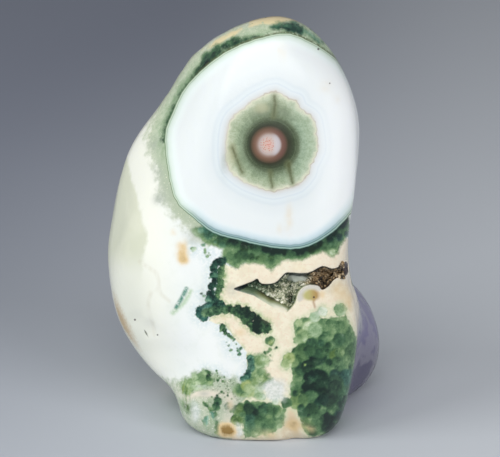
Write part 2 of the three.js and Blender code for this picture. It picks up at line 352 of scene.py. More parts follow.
# %% The pocket's rim
POCKET_RIM = [
    (-1.7, 21.2), (-0.3, 21.9), (1.0, 22.4), (1.8, 22.8), (2.4, 22.1), (4.2, 22.2), (5.3, 23.2),
    (6.1, 23.7), (8.9, 23.6), (11.0, 24.6), (12.4, 24.3), (13.5, 24.8), (14.4, 26.1),
    (16.5, 27.4), (18.0, 22.0), (14.2, 22.6), (12.9, 22.5), (11.9, 21.5), (11.0, 21.1),
    (10.4, 21.7), (8.8, 21.7), (7.7, 20.7), (7.2, 19.1), (5.5, 17.7), (3.5, 18.8), (1.2, 20.2),
]
UPPER_LIP_CORNERS, RIM_STEPS = 14, 3
SLOPE_LIP = np.array([(-2.2, 21.2), (1.2, 20.2), (3.5, 18.8), (5.5, 17.7)])
pocket_rim = closed_curve(POCKET_RIM, RIM_STEPS)
print("pocket rim, mm:", (pocket_rim.max(0) - pocket_rim.min(0)).round(1))

# %% How deep the pocket is
FLOOR_DEPTH, FLOOR_TILT, TILT_V, LUMP_HEIGHT = 2.7, 0.35, 21.8, 0.45
END_DEPTH, END_U = 2.4, (11.5, 14.5)
FLOOR_SPOTS = [(6.8, 19.5, 0.4, 1.4, 1.3), (7.7, 23.1, 3.2, 1.0, -1.1)]
SLOPE_FALL, SLOPE_POWER, WALL_FALL = 0.85, 2.0, 5.0


def lumps(u, v):
    """Waves from -1 to 1 that make the floor uneven."""
    return (np.sin(1.9 * u + 0.7 * v) + np.sin(2.3 * v - 1.1 * u + 1.0)
            + 0.6 * np.sin(3.7 * u + 2.9 * v + 2.0)) / 2.6


def pocket_depth(u, v):
    """How far the pocket's floor lies below the face, and how far inside the rim it is."""
    inside = np.maximum(0.0, -run_distance(pocket_rim, u, v))
    floor = FLOOR_DEPTH + FLOOR_TILT * (v - TILT_V) + LUMP_HEIGHT * lumps(u, v)
    floor = floor + END_DEPTH * smooth(*END_U, u)
    for spot_u, spot_v, spread_u, spread_v, deeper in FLOOR_SPOTS:
        away = (u - spot_u) ** 2 / spread_u + (v - spot_v) ** 2 / spread_v
        floor = floor + deeper * np.exp(-away)
    down = run_distance(SLOPE_LIP, u, v, closed=False)
    slope = SLOPE_FALL * down ** SLOPE_POWER
    wall = WALL_FALL * inside
    return np.minimum(np.minimum(floor, wall), slope), inside


middle = pocket_rim.mean(0)
print("depth at the pocket's middle, mm:", round(float(pocket_depth(*middle)[0]), 2))

# %% Press the pocket in
POCKET_U, POCKET_V, POCKET_BACK = (-3.5, 20.0), (16.0, 29.0), -7.0
SNAP, NUDGE = 0.06, 0.01
HOLLOW_PER_PRESSED = 3.0


def between(x, low, high):
    return (x > low) & (x < high)


front = (w > POCKET_BACK) & between(u, *POCKET_U) & between(v, *POCKET_V)
pu, pv = u[front], v[front]
away = run_distance(pocket_rim, pu, pv)
slope_u = (run_distance(pocket_rim, pu + NUDGE, pv) - away) / NUDGE
slope_v = (run_distance(pocket_rim, pu, pv + NUDGE) - away) / NUDGE
close = np.abs(away) < SNAP
pu, pv = pu - close * away * slope_u, pv - close * away * slope_v
depth, hollow = pocket_depth(pu, pv)
hollow_mm, depth_mm = np.zeros(len(u)), np.zeros(len(u))
u[front], v[front] = pu, pv
pressed = w[front] - face_height(pu, pv) + depth
w[front] -= np.where(hollow > 0, np.maximum(pressed, 0.0), 0.0)
hollow_mm[front] = np.where(hollow > 0, np.minimum(hollow, HOLLOW_PER_PRESSED * pressed), 0.0)
depth_mm[front] = np.where(hollow_mm[front] > 0, depth, 0.0)
print("pocket vertices:", int((hollow > 0).sum()), "deepest, mm:", round(depth.max(), 2))

# %% [markdown]
# ## Into the part's frame
#
# The skin is centred on the packed stone in depth, and its right edge is laid on the packed one,
# because the left flank is a few tenths of a millimetre fuller than the packed flank. The foot is
# cut off level at the floor.

# %% Put the skin in the part's frame
x, y, z = face_to_part(u, v, w)
z = np.maximum(z, 0.0)
skin_places = np.stack([x, y, z], 1)
stone_low, stone_high = (np.array(corner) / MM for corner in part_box("stone"))
shift = (stone_low + stone_high) / 2 - (skin_places.min(0) + skin_places.max(0)) / 2
shift[0] = stone_high[0] - skin_places[:, 0].max()
shift[2] = 0.0
stone_mesh.vertices.foreach_set("co", ((skin_places + shift) * MM).ravel())
stone_mesh.shade_smooth()
stone_mesh.update()
stone = bpy.data.objects.new("jasper_stone", stone_mesh)
bpy.context.scene.collection.objects.link(stone)
print("centred by, mm:", shift.round(3))

# %% [markdown]
# ## The camera
#
# It looks straight at the face, from 20 degrees above the floor, through a long lens. It sits
# 400 mm out along w.

# %% The camera
AIM_U, AIM_V = 0.714, 29.93
CAMERA_AWAY = 400.0
LENS, SENSOR, NEAR_CLIP = 201.6, 36.0, 0.01
camera_data = bpy.data.cameras.new("camera")
camera_data.lens = LENS
camera_data.sensor_width = SENSOR
camera_data.sensor_fit = "HORIZONTAL"
camera_data.clip_start = NEAR_CLIP
camera = bpy.data.objects.new("camera", camera_data)
bpy.context.scene.collection.objects.link(camera)
camera.location = (Vector(face_to_part(AIM_U, AIM_V, CAMERA_AWAY)) + Vector(shift)) * MM
camera.rotation_euler = (math.pi / 2 - LEAN, 0.0, 0.0)
bpy.context.scene.camera = camera
print("camera at, m:", [round(c, 4) for c in camera.location])

# %% [markdown]
# ## Where each colour lies
#
# The stone is a puzzle of zones: silica gel that set at different times. Each zone is a closed
# outline on the face, and each vertex stores how far inside a zone it is, in millimetres. A
# painted mask would do the same, but a distance can be roughened, blurred or traced by a line
# in the material, at any fineness. The zones run back into the stone and drift as they go, as
# real ones do.

# %% Tools for the zones
DRIFT_START, DRIFT_START_RIGHT, DRIFT_WAY, DRIFT = 11.0, 5.5, 12.0, 6.0
RIGHT_U, RIGHT_V = (12.0, 15.0), (48.0, 40.0)
RUN_OUT, FADE_REACH, FAR_OUTSIDE = (10.0, 14.0), 6.0, -9.0
POCKET_LIFT = 20.0
zones = []

# How far each vertex lies behind the face. The pocket's skin is lifted, so it counts as on it.
below = np.maximum(0.0, face_height(u, v) - w - np.where(hollow_mm > 0, POCKET_LIFT, 0.0))
start = mix(DRIFT_START, DRIFT_START_RIGHT, smooth(*RIGHT_U, u) * smooth(*RIGHT_V, v))
drift = DRIFT * smooth(start, start + DRIFT_WAY, below)
zone_u = u + drift * np.sin(0.23 * w + 0.13 * v + 1.0)
zone_v = v + drift * np.cos(0.19 * w - 0.15 * u)
run_out = smooth(*RUN_OUT, below)
print("drift, mm, at most:", round(drift.max(), 2))


def keep(name, values):
    """Stores one number per vertex under a name that the material can read."""
    layer = stone_mesh.attributes.new(name, "FLOAT", "POINT")
    layer.data.foreach_set("value", np.asarray(values, np.float32))
    zones.append(name)


def patch(corners):
    """How far inside a closed outline each vertex is."""
    return -run_distance(np.array(corners, float), zone_u, zone_v)


def line(*paths):
    """How near to the nearest of some open paths each vertex is, counted down from 0."""
    return np.max([-run_distance(np.array(path, float), zone_u, zone_v, closed=False)
                   for path in paths], 0) - FADE_REACH * run_out


def stain(*spots):
    """Soft spots, each with its place, its two radii and its strength."""
    total = 0.0
    for su, sv, wide, high, strength in spots:
        total = total + strength * np.exp(-((zone_u - su) / wide) ** 2 - ((zone_v - sv) / high) ** 2)
    return total * (1.0 - run_out)


# %% The pale zones
keep("beige", patch([
    (-17.4, 40.4), (-16.6, 37.0), (-15.7, 34.8), (-14.8, 31.0), (-14.0, 29.0), (-14.7, 25.6),
    (-15.0, 22.0), (-16.0, 19.0), (-24.0, 18.0), (-25.0, 30.0), (-21.0, 40.0)]))
keep("band", patch([
    (1.4, 61.4), (-2.9, 59.2), (-8.6, 55.0), (-11.8, 51.0), (-13.6, 47.0), (-14.6, 43.4),
    (-14.0, 40.6), (-12.8, 38.0), (-12.6, 34.5), (-10.9, 32.6), (-9.5, 30.4), (-7.6, 29.0),
    (-6.0, 27.8), (-4.3, 28.3), (-4.3, 34.0), (7.9, 52.0), (14.0, 50.0), (18.0, 52.0),
    (12.0, 61.2)]))
keep("cream", patch([
    (-3.6, 25.1), (-1.9, 24.5), (2.7, 25.6), (7.9, 25.7), (10.5, 26.9), (12.5, 26.9), (14.2, 28.6),
    (18.2, 28.3), (19.2, -1.1), (-2.0, -1.1), (-1.0, 4.5), (2.4, 7.9), (0.4, 9.6), (0.2, 12.2),
    (-1.6, 14.4), (-2.7, 15.8), (-5.3, 16.7), (-5.0, 17.4), (-3.3, 17.8), (-3.4, 18.8),
    (-3.9, 21.0)]))
keep("foot_ground", patch([
    (-12.6, 7.8), (-9.6, 7.9), (-7.0, 9.0), (-5.4, 9.7), (-3.4, 8.9), (-1.0, 8.4), (2.0, 7.0),
    (5.4, 7.6), (6.4, 4.0), (9.0, 1.0), (9.0, -4.0), (-14.0, -4.0)]))
keep("cap", np.maximum(patch([
    (-6.4, 55.6), (-4.4, 57.2), (-2.2, 58.2), (-0.4, 58.9), (-0.3, 58.3), (-1.8, 57.6),
    (-4.2, 56.3)]), patch([
        (0.6, 58.9), (2.6, 59.4), (4.6, 59.3), (6.6, 60.0), (9.0, 59.8), (9.4, 62.6), (5.0, 63.5),
        (0.4, 62.0)])))
print("pale zones:", zones)

# %% [markdown]
# ## The moss, ball by ball
#
# The green is celadonite that grew as tiny balls, one over another, in clumps of light and dark.
# A cell texture alone would give every ball the same chance of being dark, and the moss would
# lose its depth. So a bed of moss is an outline and a few named clumps. Each clump has a place, a
# reach, a tone from dark 0 to light 1, and a hue from teal -1 to yellow 1. Balls are strewn over
# the bed, and each takes its tone and hue from the clumps around it. Thin growths are strings of
# balls along a path, and crumbs are small balls strewn round a spot. The material adds the
# smallest balls.

# %% Tools for the moss
BALL_EDGE, RIM_WIDTH = 0.20, 0.32
BALL_SHADE, RIM_SHADE, LIT_SIDE = 0.07, 0.10, (0.6, -0.8)
TONE_SPREAD, HUE_SPREAD = 0.06, 0.15
TRIES_PER_BALL, ROOTED, LEAST_PULL = 8, 0.55, 1e-9
STRING_PACKING, STRING_SIZES, STRING_SWAY = 3.0, (0.85, 1.3), 0.4
CRUMB_SIZES, CRUMB_TONE_SPREAD = (0.6, 1.4), 0.1
SINK_START, SINK = 6.0, 0.5
MIDDLE_TONE = 0.45
moss_rng = np.random.default_rng(7)
tone = np.full(len(u), MIDDLE_TONE)
hue = np.zeros(len(u))
sink = SINK * np.maximum(0.0, below - SINK_START)


def lay_balls(balls, relief=1.0):
    """Paints the balls' tone and hue, and returns how far inside them each vertex is."""
    reach = np.full(len(u), FAR_OUTSIDE)
    for bu, bv, radius, ball_tone, ball_hue in balls:
        du, dv = zone_u - bu, zone_v - bv
        away = np.sqrt(du * du + dv * dv + sink * sink)
        slant = np.clip((LIT_SIDE[0] * du + LIT_SIDE[1] * dv) / radius, -1.0, 1.0)
        rim = smooth(radius - RIM_WIDTH, radius, away) * np.maximum(-slant, 0.0)
        cover = smooth(radius + BALL_EDGE, radius - BALL_EDGE, away)
        shade = relief * (BALL_SHADE * slant - RIM_SHADE * rim)
        tone[:] = mix(tone, ball_tone + shade, cover)
        hue[:] = mix(hue, ball_hue, cover)
        np.maximum(reach, radius - away, out=reach)
    return reach


def strewn(corners, clumps, count, radii, relief=1.0):
    """Lays balls over a bed of moss, and returns how far inside the bed each vertex is."""
    corners, clumps = np.array(corners, float), np.array(clumps, float)
    spots = moss_rng.uniform(corners.min(0), corners.max(0), (TRIES_PER_BALL * count, 2))
    sizes = moss_rng.uniform(*radii, TRIES_PER_BALL * count)
    rooted = -run_distance(corners, *spots.T) > ROOTED * sizes
    balls = []
    for spot, size in zip(spots[rooted][:count], sizes[rooted]):
        away = ((clumps[:, :2] - spot) ** 2).sum(1) / clumps[:, 2] ** 2
        pull = np.exp(-away) + LEAST_PULL
        ball_tone, ball_hue = moss_rng.normal(pull @ clumps[:, 3:] / pull.sum(),
                                              (TONE_SPREAD, HUE_SPREAD))
        balls.append((*spot, size, ball_tone, ball_hue))
    return np.maximum(patch(corners), lay_balls(balls, relief))


def string(path, ball_tone, ball_hue):
    """Balls along a path of places with radii, jostled a little."""
    balls = []
    for (u0, v0, r0), (u1, v1, r1) in zip(path, path[1:]):
        count = max(1, round(STRING_PACKING * math.hypot(u1 - u0, v1 - v0) / (r0 + r1)))
        for t in np.arange(count) / count:
            radius = mix(r0, r1, t) * moss_rng.uniform(*STRING_SIZES)
            sway = moss_rng.uniform(-STRING_SWAY, STRING_SWAY, 2) * radius
            balls.append((mix(u0, u1, t) + sway[0], mix(v0, v1, t) + sway[1], radius,
                          moss_rng.normal(ball_tone, TONE_SPREAD), ball_hue))
    return balls


def crumbs(cu, cv, reach, count, size, ball_tone, ball_hue):
    """Small balls strewn round a spot."""
    return [(*moss_rng.normal((cu, cv), reach), size * moss_rng.uniform(*CRUMB_SIZES),
             moss_rng.normal(ball_tone, CRUMB_TONE_SPREAD), ball_hue) for _ in range(count)]


# %% Green under the orb
UNDER_BED = [
    (-7.9, 29.7), (-4.3, 31.1), (15.0, 31.9), (15.5, 28.6), (14.5, 28.6), (13.3, 26.3),
    (12.5, 25.8), (11.2, 26.6), (9.5, 26.0), (8.6, 25.4), (5.4, 25.3), (3.7, 23.8), (2.6, 24.7),
    (-0.1, 25.0), (-1.3, 24.0), (-3.3, 25.4), (-3.3, 26.9), (-5.7, 27.8)]
UNDER_CLUMPS = [
    (-7.0, 29.2, 0.9, 0.66, -0.5), (-5.2, 28.4, 1.3, 0.50, -0.5), (-3.0, 27.2, 1.4, 0.46, -0.2),
    (0.0, 26.4, 1.4, 0.32, 0.2),
    (1.5, 25.6, 1.0, 0.34, 0.4), (3.3, 24.6, 0.7, 0.86, -0.2), (4.8, 25.6, 1.2, 0.26, 0.3),
    (6.5, 26.5, 1.6, -0.06, 0.0), (8.6, 25.6, 0.7, 0.54, 0.4), (10.0, 27.2, 1.4, 0.18, 0.2),
    (2.0, 28.0, 1.8, 0.04, 0.0),
    (12.7, 26.7, 0.9, 0.80, -0.2), (14.2, 29.3, 1.4, 0.16, -0.5)]
soft_moss = strewn(UNDER_BED, UNDER_CLUMPS, 130, (0.25, 0.7), relief=0.6)
print("under the orb, vertices in moss:", int((soft_moss > 0).sum()))

# %% The cluster at the lower right
CLUSTER_BED = [
    (6.9, 16.4), (8.7, 17.4), (10.2, 16.8), (12.9, 17.3), (14.6, 17.0), (15.6, 15.4), (17.3, 11.1),
    (16.5, 5.4), (14.3, 0.1), (9.0, 0.0), (8.3, 1.9), (7.2, 4.1), (6.6, 5.4), (6.4, 7.1),
    (6.9, 8.8), (6.2, 10.5), (6.2, 11.7), (7.4, 13.4)]
CLUSTER_CLUMPS = [
    (9.4, 16.2, 1.2, 0.86, 0.1), (7.5, 15.8, 1.0, 0.76, 0.4), (12.2, 15.9, 1.2, 0.64, -0.1),
    (14.7, 14.0, 1.8, 0.42, 0.0), (14.2, 11.6, 1.3, 0.54, 0.3), (13.2, 14.4, 0.7, 0.24, -0.2),
    (8.2, 14.0, 0.9, 0.58, 0.0), (7.8, 12.3, 1.0, 0.32, 0.2), (10.8, 13.1, 1.3, 0.28, -0.1),
    (12.2, 11.3, 1.2, 0.20, -0.1), (6.2, 11.0, 0.8, 0.62, 0.3), (7.0, 9.2, 0.8, 0.50, 0.2),
    (10.2, 11.0, 1.1, 0.18, -0.3), (9.2, 8.0, 1.5, 0.06, -0.1), (11.5, 8.4, 1.5, 0.04, -0.2),
    (7.0, 7.2, 0.8, 0.14, -0.4), (14.1, 8.6, 1.3, 0.32, -0.6), (13.6, 6.2, 1.3, 0.30, 0.0),
    (11.4, 5.3, 1.4, 0.03, -0.2), (9.9, 5.5, 0.6, 0.66, -0.3), (7.2, 5.2, 0.8, 0.48, 0.5),
    (8.4, 3.8, 0.7, 0.20, 0.0), (9.9, 2.9, 0.9, 0.42, 0.3), (12.4, 3.8, 1.2, 0.12, 0.0),
    (14.2, 3.6, 1.0, 0.24, -0.6), (11.2, 1.6, 0.7, 0.08, 0.1), (12.6, 1.6, 0.9, 0.18, -0.1)]
cluster = strewn(CLUSTER_BED, CLUSTER_CLUMPS, 130, (0.4, 1.35))
cluster = np.maximum(cluster, lay_balls([
    (11.2, 18.1, 0.75, 0.92, -0.3), (10.0, 17.3, 0.8, 0.74, -0.3), (13.7, 18.3, 0.95, 0.60, -0.2),
    (6.3, 11.4, 0.85, 0.62, 0.6), (5.9, 10.5, 0.8, 0.72, 0.4), (5.9, 4.9, 0.8, 0.26, 0.0)]))
print("cluster, vertices in moss:", int((cluster > 0).sum()))

# %% Beds low on the face
TOP_BED = [
    (0.7, 11.8), (2.6, 12.0), (3.9, 11.0), (2.5, 9.7), (4.0, 8.4), (2.6, 6.6), (2.2, 5.6),
    (-1.0, 5.7), (-1.6, 6.4), (-1.1, 7.5), (0.6, 9.2), (0.9, 10.5)]
TOP_CLUMPS = [
    (1.8, 10.6, 1.2, 0.68, 0.1), (2.7, 9.2, 0.5, 0.30, 0.1), (2.6, 8.5, 0.9, 0.60, 0.5),
    (3.9, 7.9, 0.7, 0.58, 0.4), (0.8, 7.6, 1.2, 0.60, 0.45), (0.4, 6.4, 1.2, 0.62, 0.4),
    (2.2, 6.6, 0.9, 0.68, 0.0), (-1.2, 7.0, 0.7, 0.36, -0.2)]
FOOT_BED = [
    (0.3, 5.2), (2.6, 5.1), (4.4, 4.5), (5.9, 4.0), (5.5, 1.6), (3.3, 0.4), (-0.1, -0.2),
    (-0.3, 2.5), (-1.6, 3.0), (-1.6, 4.6)]
FOOT_CLUMPS = [
    (0.5, 4.3, 1.1, 0.20, 0.1), (1.8, 3.5, 1.3, 0.22, -0.1), (2.8, 4.7, 0.9, 0.24, -0.4),
    (-0.9, 4.0, 0.8, 0.36, 0.2), (3.6, 3.1, 1.0, 0.46, 0.0), (5.0, 3.3, 0.6, 0.50, 0.2),
    (4.4, 1.8, 0.9, 0.44, 0.0), (2.3, 1.3, 1.1, 0.52, 0.0), (0.2, 2.1, 0.9, 0.38, -0.5),
    (0.6, 0.8, 0.9, 0.58, -0.3), (-1.2, 3.4, 0.5, 0.40, 0.4)]
LEFT_BED = [
    (-9.4, 6.8), (-9.2, 7.9), (-8.0, 8.6), (-6.0, 9.6), (-4.2, 8.3), (-4.6, 7.3), (-6.9, 6.6),
    (-8.6, 5.6)]
LEFT_CLUMPS = [
    (-8.5, 6.6, 0.8, 0.48, 0.4), (-8.4, 7.9, 0.9, 0.70, 0.1), (-7.1, 7.8, 0.7, 0.74, 0.1),
    (-5.6, 8.3, 0.9, 0.56, 0.2), (-6.6, 9.2, 0.7, 0.58, -0.5), (-4.6, 8.0, 0.6, 0.74, 0.0)]
WEDGE_BED = [(-9.4, 5.0), (-7.2, 4.3), (-6.6, 3.6), (-7.2, 2.9), (-8.2, 3.0)]
WEDGE_CLUMPS = [(-8.6, 4.4, 0.6, 0.28, 0.8), (-7.2, 3.7, 0.7, 0.44, 0.6)]
for row in ((TOP_BED, TOP_CLUMPS, 44, (0.3, 0.8)), (LEFT_BED, LEFT_CLUMPS, 40, (0.25, 0.6)),
            (WEDGE_BED, WEDGE_CLUMPS, 14, (0.25, 0.5))):
    soft_moss = np.maximum(soft_moss, strewn(*row, relief=0.5))
foot = strewn(FOOT_BED, FOOT_CLUMPS, 60, (0.35, 0.9))
print("foot, vertices in moss:", int((foot > 0).sum()))

# %% Strings, single balls and crumbs
FOOT_STRINGS = [
    ([(-3.9, 5.8, 0.30), (-4.0, 4.8, 0.62), (-4.4, 4.0, 0.40)], 0.26, -0.2),
    ([(-5.9, 4.9, 0.16), (-5.2, 4.2, 0.24), (-4.8, 3.7, 0.20)], 0.34, 0.0),
    ([(-5.9, 2.9, 0.30), (-5.6, 1.8, 0.30), (-5.4, 1.2, 0.20)], 0.66, -0.8),
    ([(-5.3, 3.2, 0.28), (-4.4, 3.3, 0.24), (-4.5, 2.2, 0.32)], 0.60, -0.8),
    ([(-4.1, 3.4, 0.26), (-4.0, 0.4, 0.30)], 0.40, -0.2),
    ([(-1.2, 2.4, 0.60), (-2.2, 2.7, 0.50)], 0.38, 0.5)]
RIM_STRINGS = [
    ([(2.0, 57.6, 0.12), (0.0, 57.2, 0.35), (-2.4, 56.5, 0.70), (-4.2, 55.5, 0.85),
      (-5.6, 54.0, 0.80), (-7.0, 52.2, 0.50)], 0.32, -0.2),
    ([(-6.2, 53.0, 0.60), (-8.0, 50.6, 0.50), (-9.7, 48.0, 0.45), (-11.2, 45.0, 0.40),
      (-11.9, 42.4, 0.25)], 0.40, 0.1),
    ([(3.9, 58.7, 0.35), (5.4, 59.2, 0.60), (6.8, 59.1, 0.80), (8.2, 58.5, 0.60)], 0.24, -0.5),
    ([(8.6, 58.4, 0.40), (10.2, 57.4, 0.42), (11.4, 56.5, 0.30)], 0.62, -0.6)]
SINGLE_BALLS = [
    (2.4, 5.8, 0.55, 0.66, -0.2), (4.4, 5.1, 0.50, 0.80, -0.3), (3.6, 13.8, 0.70, 0.30, 0.1),
    (3.7, 13.6, 0.40, 0.60, 0.5), (-5.9, 27.6, 0.30, 0.42, -0.6), (-7.3, 27.0, 0.40, 0.78, -0.4),
    (1.9, 17.4, 0.34, 0.14, 0.1), (-3.0, 23.0, 0.30, 0.60, 0.5), (8.6, 10.4, 0.16, 0.78, 1.0),
    (2.4, 5.2, 0.14, 0.90, 0.7)]
rim_balls = [ball for row in RIM_STRINGS for ball in string(*row)]
soft_moss = np.maximum(soft_moss, lay_balls(rim_balls, relief=0.5))
keep("soft_moss", soft_moss)
loose = [ball for row in FOOT_STRINGS for ball in string(*row)]
CRUMBS = [
    (-5.2, 9.0, 0.4, 13, 0.20, 0.20, 0.1), (-3.8, 8.4, 0.5, 9, 0.14, 0.32, 0.0),
    (-3.2, 6.2, 0.7, 12, 0.16, 0.24, 0.0), (-2.3, 4.2, 0.5, 9, 0.18, 0.24, 0.2),
    (-5.5, 26.4, 0.4, 5, 0.16, 0.50, -0.4),
    (3.2, 12.0, 0.6, 5, 0.26, 0.35, 0.0), (11.4, 59.0, 0.8, 6, 0.25, 0.90, -0.5),
    (9.6, 58.2, 0.6, 9, 0.13, 0.95, -0.7), (2.0, 59.2, 1.2, 9, 0.14, 0.92, -0.1)]
loose += [ball for row in CRUMBS for ball in crumbs(*row)]
keep("moss", np.max([cluster, foot, lay_balls(loose + SINGLE_BALLS)], 0))
print("balls at the rim:", len(rim_balls), "loose:", len(loose))

# %% Deep green threads
FLANK_TONE, FLANK_BELOW = 0.36, (2.5, 6.5)
DEEP_STRINGS = [
    ([(-3.3, 24.4, 0.40), (-3.6, 22.6, 0.45), (-3.9, 21.0, 0.50), (-3.9, 20.0, 0.40)], 0.42, 0.1),
    ([(-3.0, 25.2, 0.40), (-4.0, 25.2, 0.54), (-4.4, 24.2, 0.46), (-4.4, 22.8, 0.46),
      (-4.8, 21.4, 0.56), (-5.0, 20.2, 0.58), (-4.4, 19.2, 0.62), (-3.4, 18.8, 0.60),
      (-2.6, 18.8, 0.44)], 0.15, -0.5),
    ([(-5.2, 18.7, 0.56), (-6.2, 18.3, 0.60), (-6.1, 17.4, 0.56), (-5.4, 16.9, 0.46)], 0.34, -0.9),
    ([(-5.7, 18.0, 0.50), (-4.2, 18.1, 0.50), (-2.7, 18.2, 0.50)], 0.40, -0.2),
    ([(-2.2, 18.4, 0.50), (-0.9, 17.7, 0.56), (0.4, 16.5, 0.62), (1.6, 15.5, 0.60)], 0.36, 0.1),
    ([(-1.2, 18.5, 0.45), (0.0, 18.1, 0.55), (1.3, 17.1, 0.55), (2.2, 15.9, 0.72),
      (3.4, 16.0, 0.60)], 0.12, 0.0),
    ([(-3.4, 15.9, 0.42), (-2.8, 15.0, 0.30), (-1.8, 14.2, 0.26)], 0.42, -0.2),
    ([(0.7, 11.5, 0.52), (0.9, 10.1, 0.42), (0.2, 8.9, 0.42), (-0.6, 8.1, 0.30)], 0.34, -0.6)]
DEEP_CRUMBS = [
    (-1.8, 13.4, 0.4, 5, 0.17, 0.56, -0.4), (-0.8, 12.2, 0.4, 6, 0.22, 0.40, -0.5),
    (-5.3, 20.2, 0.4, 6, 0.26, 0.40, -0.6), (-4.8, 23.2, 0.3, 4, 0.24, 0.36, -0.5)]
threads = [ball for row in DEEP_STRINGS for ball in string(*row)]
threads += [ball for row in DEEP_CRUMBS for ball in crumbs(*row)]
keep("deep", lay_balls(threads) - FADE_REACH * run_out)
keep("tone", mix(np.clip(tone, 0.0, 1.0), FLANK_TONE, smooth(*FLANK_BELOW, below)))
keep("hue", hue)
print("balls in threads:", len(threads))

# %% [markdown]
# ## Stains and small marks
#
# Iron left warm spots in the white and in the cream, and clay left grey ones. One grey spot, on
# the bulge below the pocket's right end, is painted shade. All are soft, so they are stored as
# strengths, not as outlines. Seams and streaks are stored as the distance to a path.

# %% Stains
keep("ochre", stain(
    (-9.0, 26.8, 0.9, 1.5, 0.65), (-8.8, 25.3, 0.75, 0.6, 0.6), (-10.3, 29.4, 0.6, 0.6, 0.3),
    (13.2, 21.1, 1.2, 1.4, 0.45), (15.0, 19.7, 0.9, 1.8, 0.45), (6.9, 1.7, 1.2, 0.8, 0.9),
    (11.0, 20.5, 0.5, 0.7, 0.5),
    (3.2, 0.0, 2.4, 0.4, 0.6), (9.3, 1.0, 0.9, 0.6, 0.4), (-2.6, 0.9, 1.0, 0.8, 2.6),
    (-2.1, 4.6, 0.6, 0.9, 0.3), (-4.4, 57.2, 1.0, 0.6, 0.12), (-1.3, 58.4, 0.9, 0.5, 0.15),
    (4.0, 60.4, 2.6, 0.7, 0.35), (7.9, 24.3, 1.2, 0.7, 0.25), (-2.9, 17.1, 0.9, 0.6, 0.2),
    (-0.7, 15.1, 0.9, 0.8, 0.3), (3.6, 17.1, 1.2, 0.9, 0.15), (5.4, 55.2, 0.8, 1.9, 0.17),
    (4.7, 56.0, 0.3, 1.4, 0.10), (6.3, 31.5, 0.7, 2.6, 0.26), (4.9, 29.9, 0.6, 0.9, 0.18),
    (11.6, 50.3, 1.2, 1.2, 0.17), (13.2, 48.4, 0.8, 0.8, 0.14)))
keep("heart_pale", stain((2.3, 47.2, 1.3, 0.9, 0.9), (-1.9, 40.6, 0.8, 2.0, 0.9)))
# Grey clay stains. The spot at (12.6, 21.6), on the bulge below the pocket, is painted shade.
keep("smoke", stain(
    (-12.6, 34.0, 0.7, 0.8, 0.5), (-13.3, 42.3, 0.9, 1.1, 0.5), (-12.6, 38.1, 0.7, 1.2, 0.5),
    (-11.5, 34.8, 1.0, 1.5, 0.3), (-6.0, 20.0, 0.5, 1.6, 0.3), (-10.7, 18.6, 0.6, 0.6, 0.2),
    (-7.6, 29.0, 1.2, 0.8, 0.35), (-7.6, 27.8, 1.0, 0.7, 0.3), (-1.9, 21.1, 0.8, 0.9, 0.4),
    (0.4, 10.2, 0.6, 0.7, 0.2), (-2.3, 4.4, 0.8, 0.8, 0.75), (-5.9, 6.2, 0.8, 0.4, 0.5),
    (10.5, 18.2, 0.6, 1.0, 0.3), (12.6, 21.6, 1.4, 1.1, 0.4), (-3.0, 39.4, 0.5, 1.9, 0.45)))
keep("milk", stain(
    (4.2, 7.0, 1.9, 1.3, 1.3), (-6.2, 7.2, 1.4, 0.4, 0.6), (4.4, 5.6, 1.2, 0.6, 0.6),
    (-0.9, 0.9, 0.6, 1.1, 1.2), (-7.2, 3.4, 0.9, 1.6, 1.1), (-3.9, 1.8, 0.5, 1.4, 0.3)))
keep("tan", stain(
    (-2.2, 5.0, 0.9, 1.2, 0.9), (-2.4, 1.6, 1.0, 2.0, 0.75), (-5.8, 6.2, 3.0, 0.55, 1.2),
    (-8.2, 5.5, 1.0, 0.35, 0.8), (6.6, 2.6, 1.3, 2.2, 1.0), (3.0, 0.1, 4.0, 0.45, 1.0)))
print("stains done, zones so far:", len(zones))

# %% Seams, streaks and small marks
RUST, RUST_LONG, RUST_WIDE, RUST_SIDE_U = (16.4, -12.6), 3.4, 1.5, -12.0
HONEY, HONEY_RADIUS, HONEY_STRETCH = (9.5, 20.4), 0.8, 1.5
rust_inside = 1.0 - np.hypot((v - RUST[0]) / RUST_LONG, (w - RUST[1]) / RUST_WIDE)
keep("rust_streak", np.where(u < RUST_SIDE_U, rust_inside, FAR_OUTSIDE))
honey_away = np.hypot((zone_u - HONEY[0]) / HONEY_STRETCH, zone_v - HONEY[1])
keep("honey", HONEY_RADIUS - honey_away - FADE_REACH * run_out)
keep("seam", line([(-15.3, 25.2), (-13.9, 24.3), (-12.8, 23.6), (-12.4, 22.4), (-12.4, 21.2),
                   (-12.0, 20.4), (-10.9, 19.5)],
                  [(-13.5, 20.8), (-14.0, 19.4), (-14.0, 18.0), (-13.4, 16.3), (-13.1, 14.4)]))
keep("slit", line([(-14.8, 15.1), (-13.9, 14.1)]))
keep("streak", line([(-8.4, 21.3), (-9.1, 19.9), (-9.9, 18.6)]))
keep("streak_pale", line([(-7.8, 20.9), (-8.8, 19.2), (-10.4, 17.8)]))
keep("halo", patch([(7.4, 20.2), (7.8, 21.2), (8.8, 22.0), (10.6, 22.0), (11.2, 21.3),
                    (10.6, 20.9), (9.4, 21.2), (8.6, 20.9), (8.3, 19.8), (7.7, 19.4)])
     - FADE_REACH * run_out)
keep("honey_tail", line([(9.9, 20.0), (9.8, 19.4), (10.0, 18.7)]))
# The distance to the pocket's upper lip, used for the painted shadow under it.
keep("lip", line(POCKET_RIM[:UPPER_LIP_CORNERS]))
keep("hollow", hollow_mm)
keep("depth", depth_mm)
print("marks done, zones so far:", len(zones))

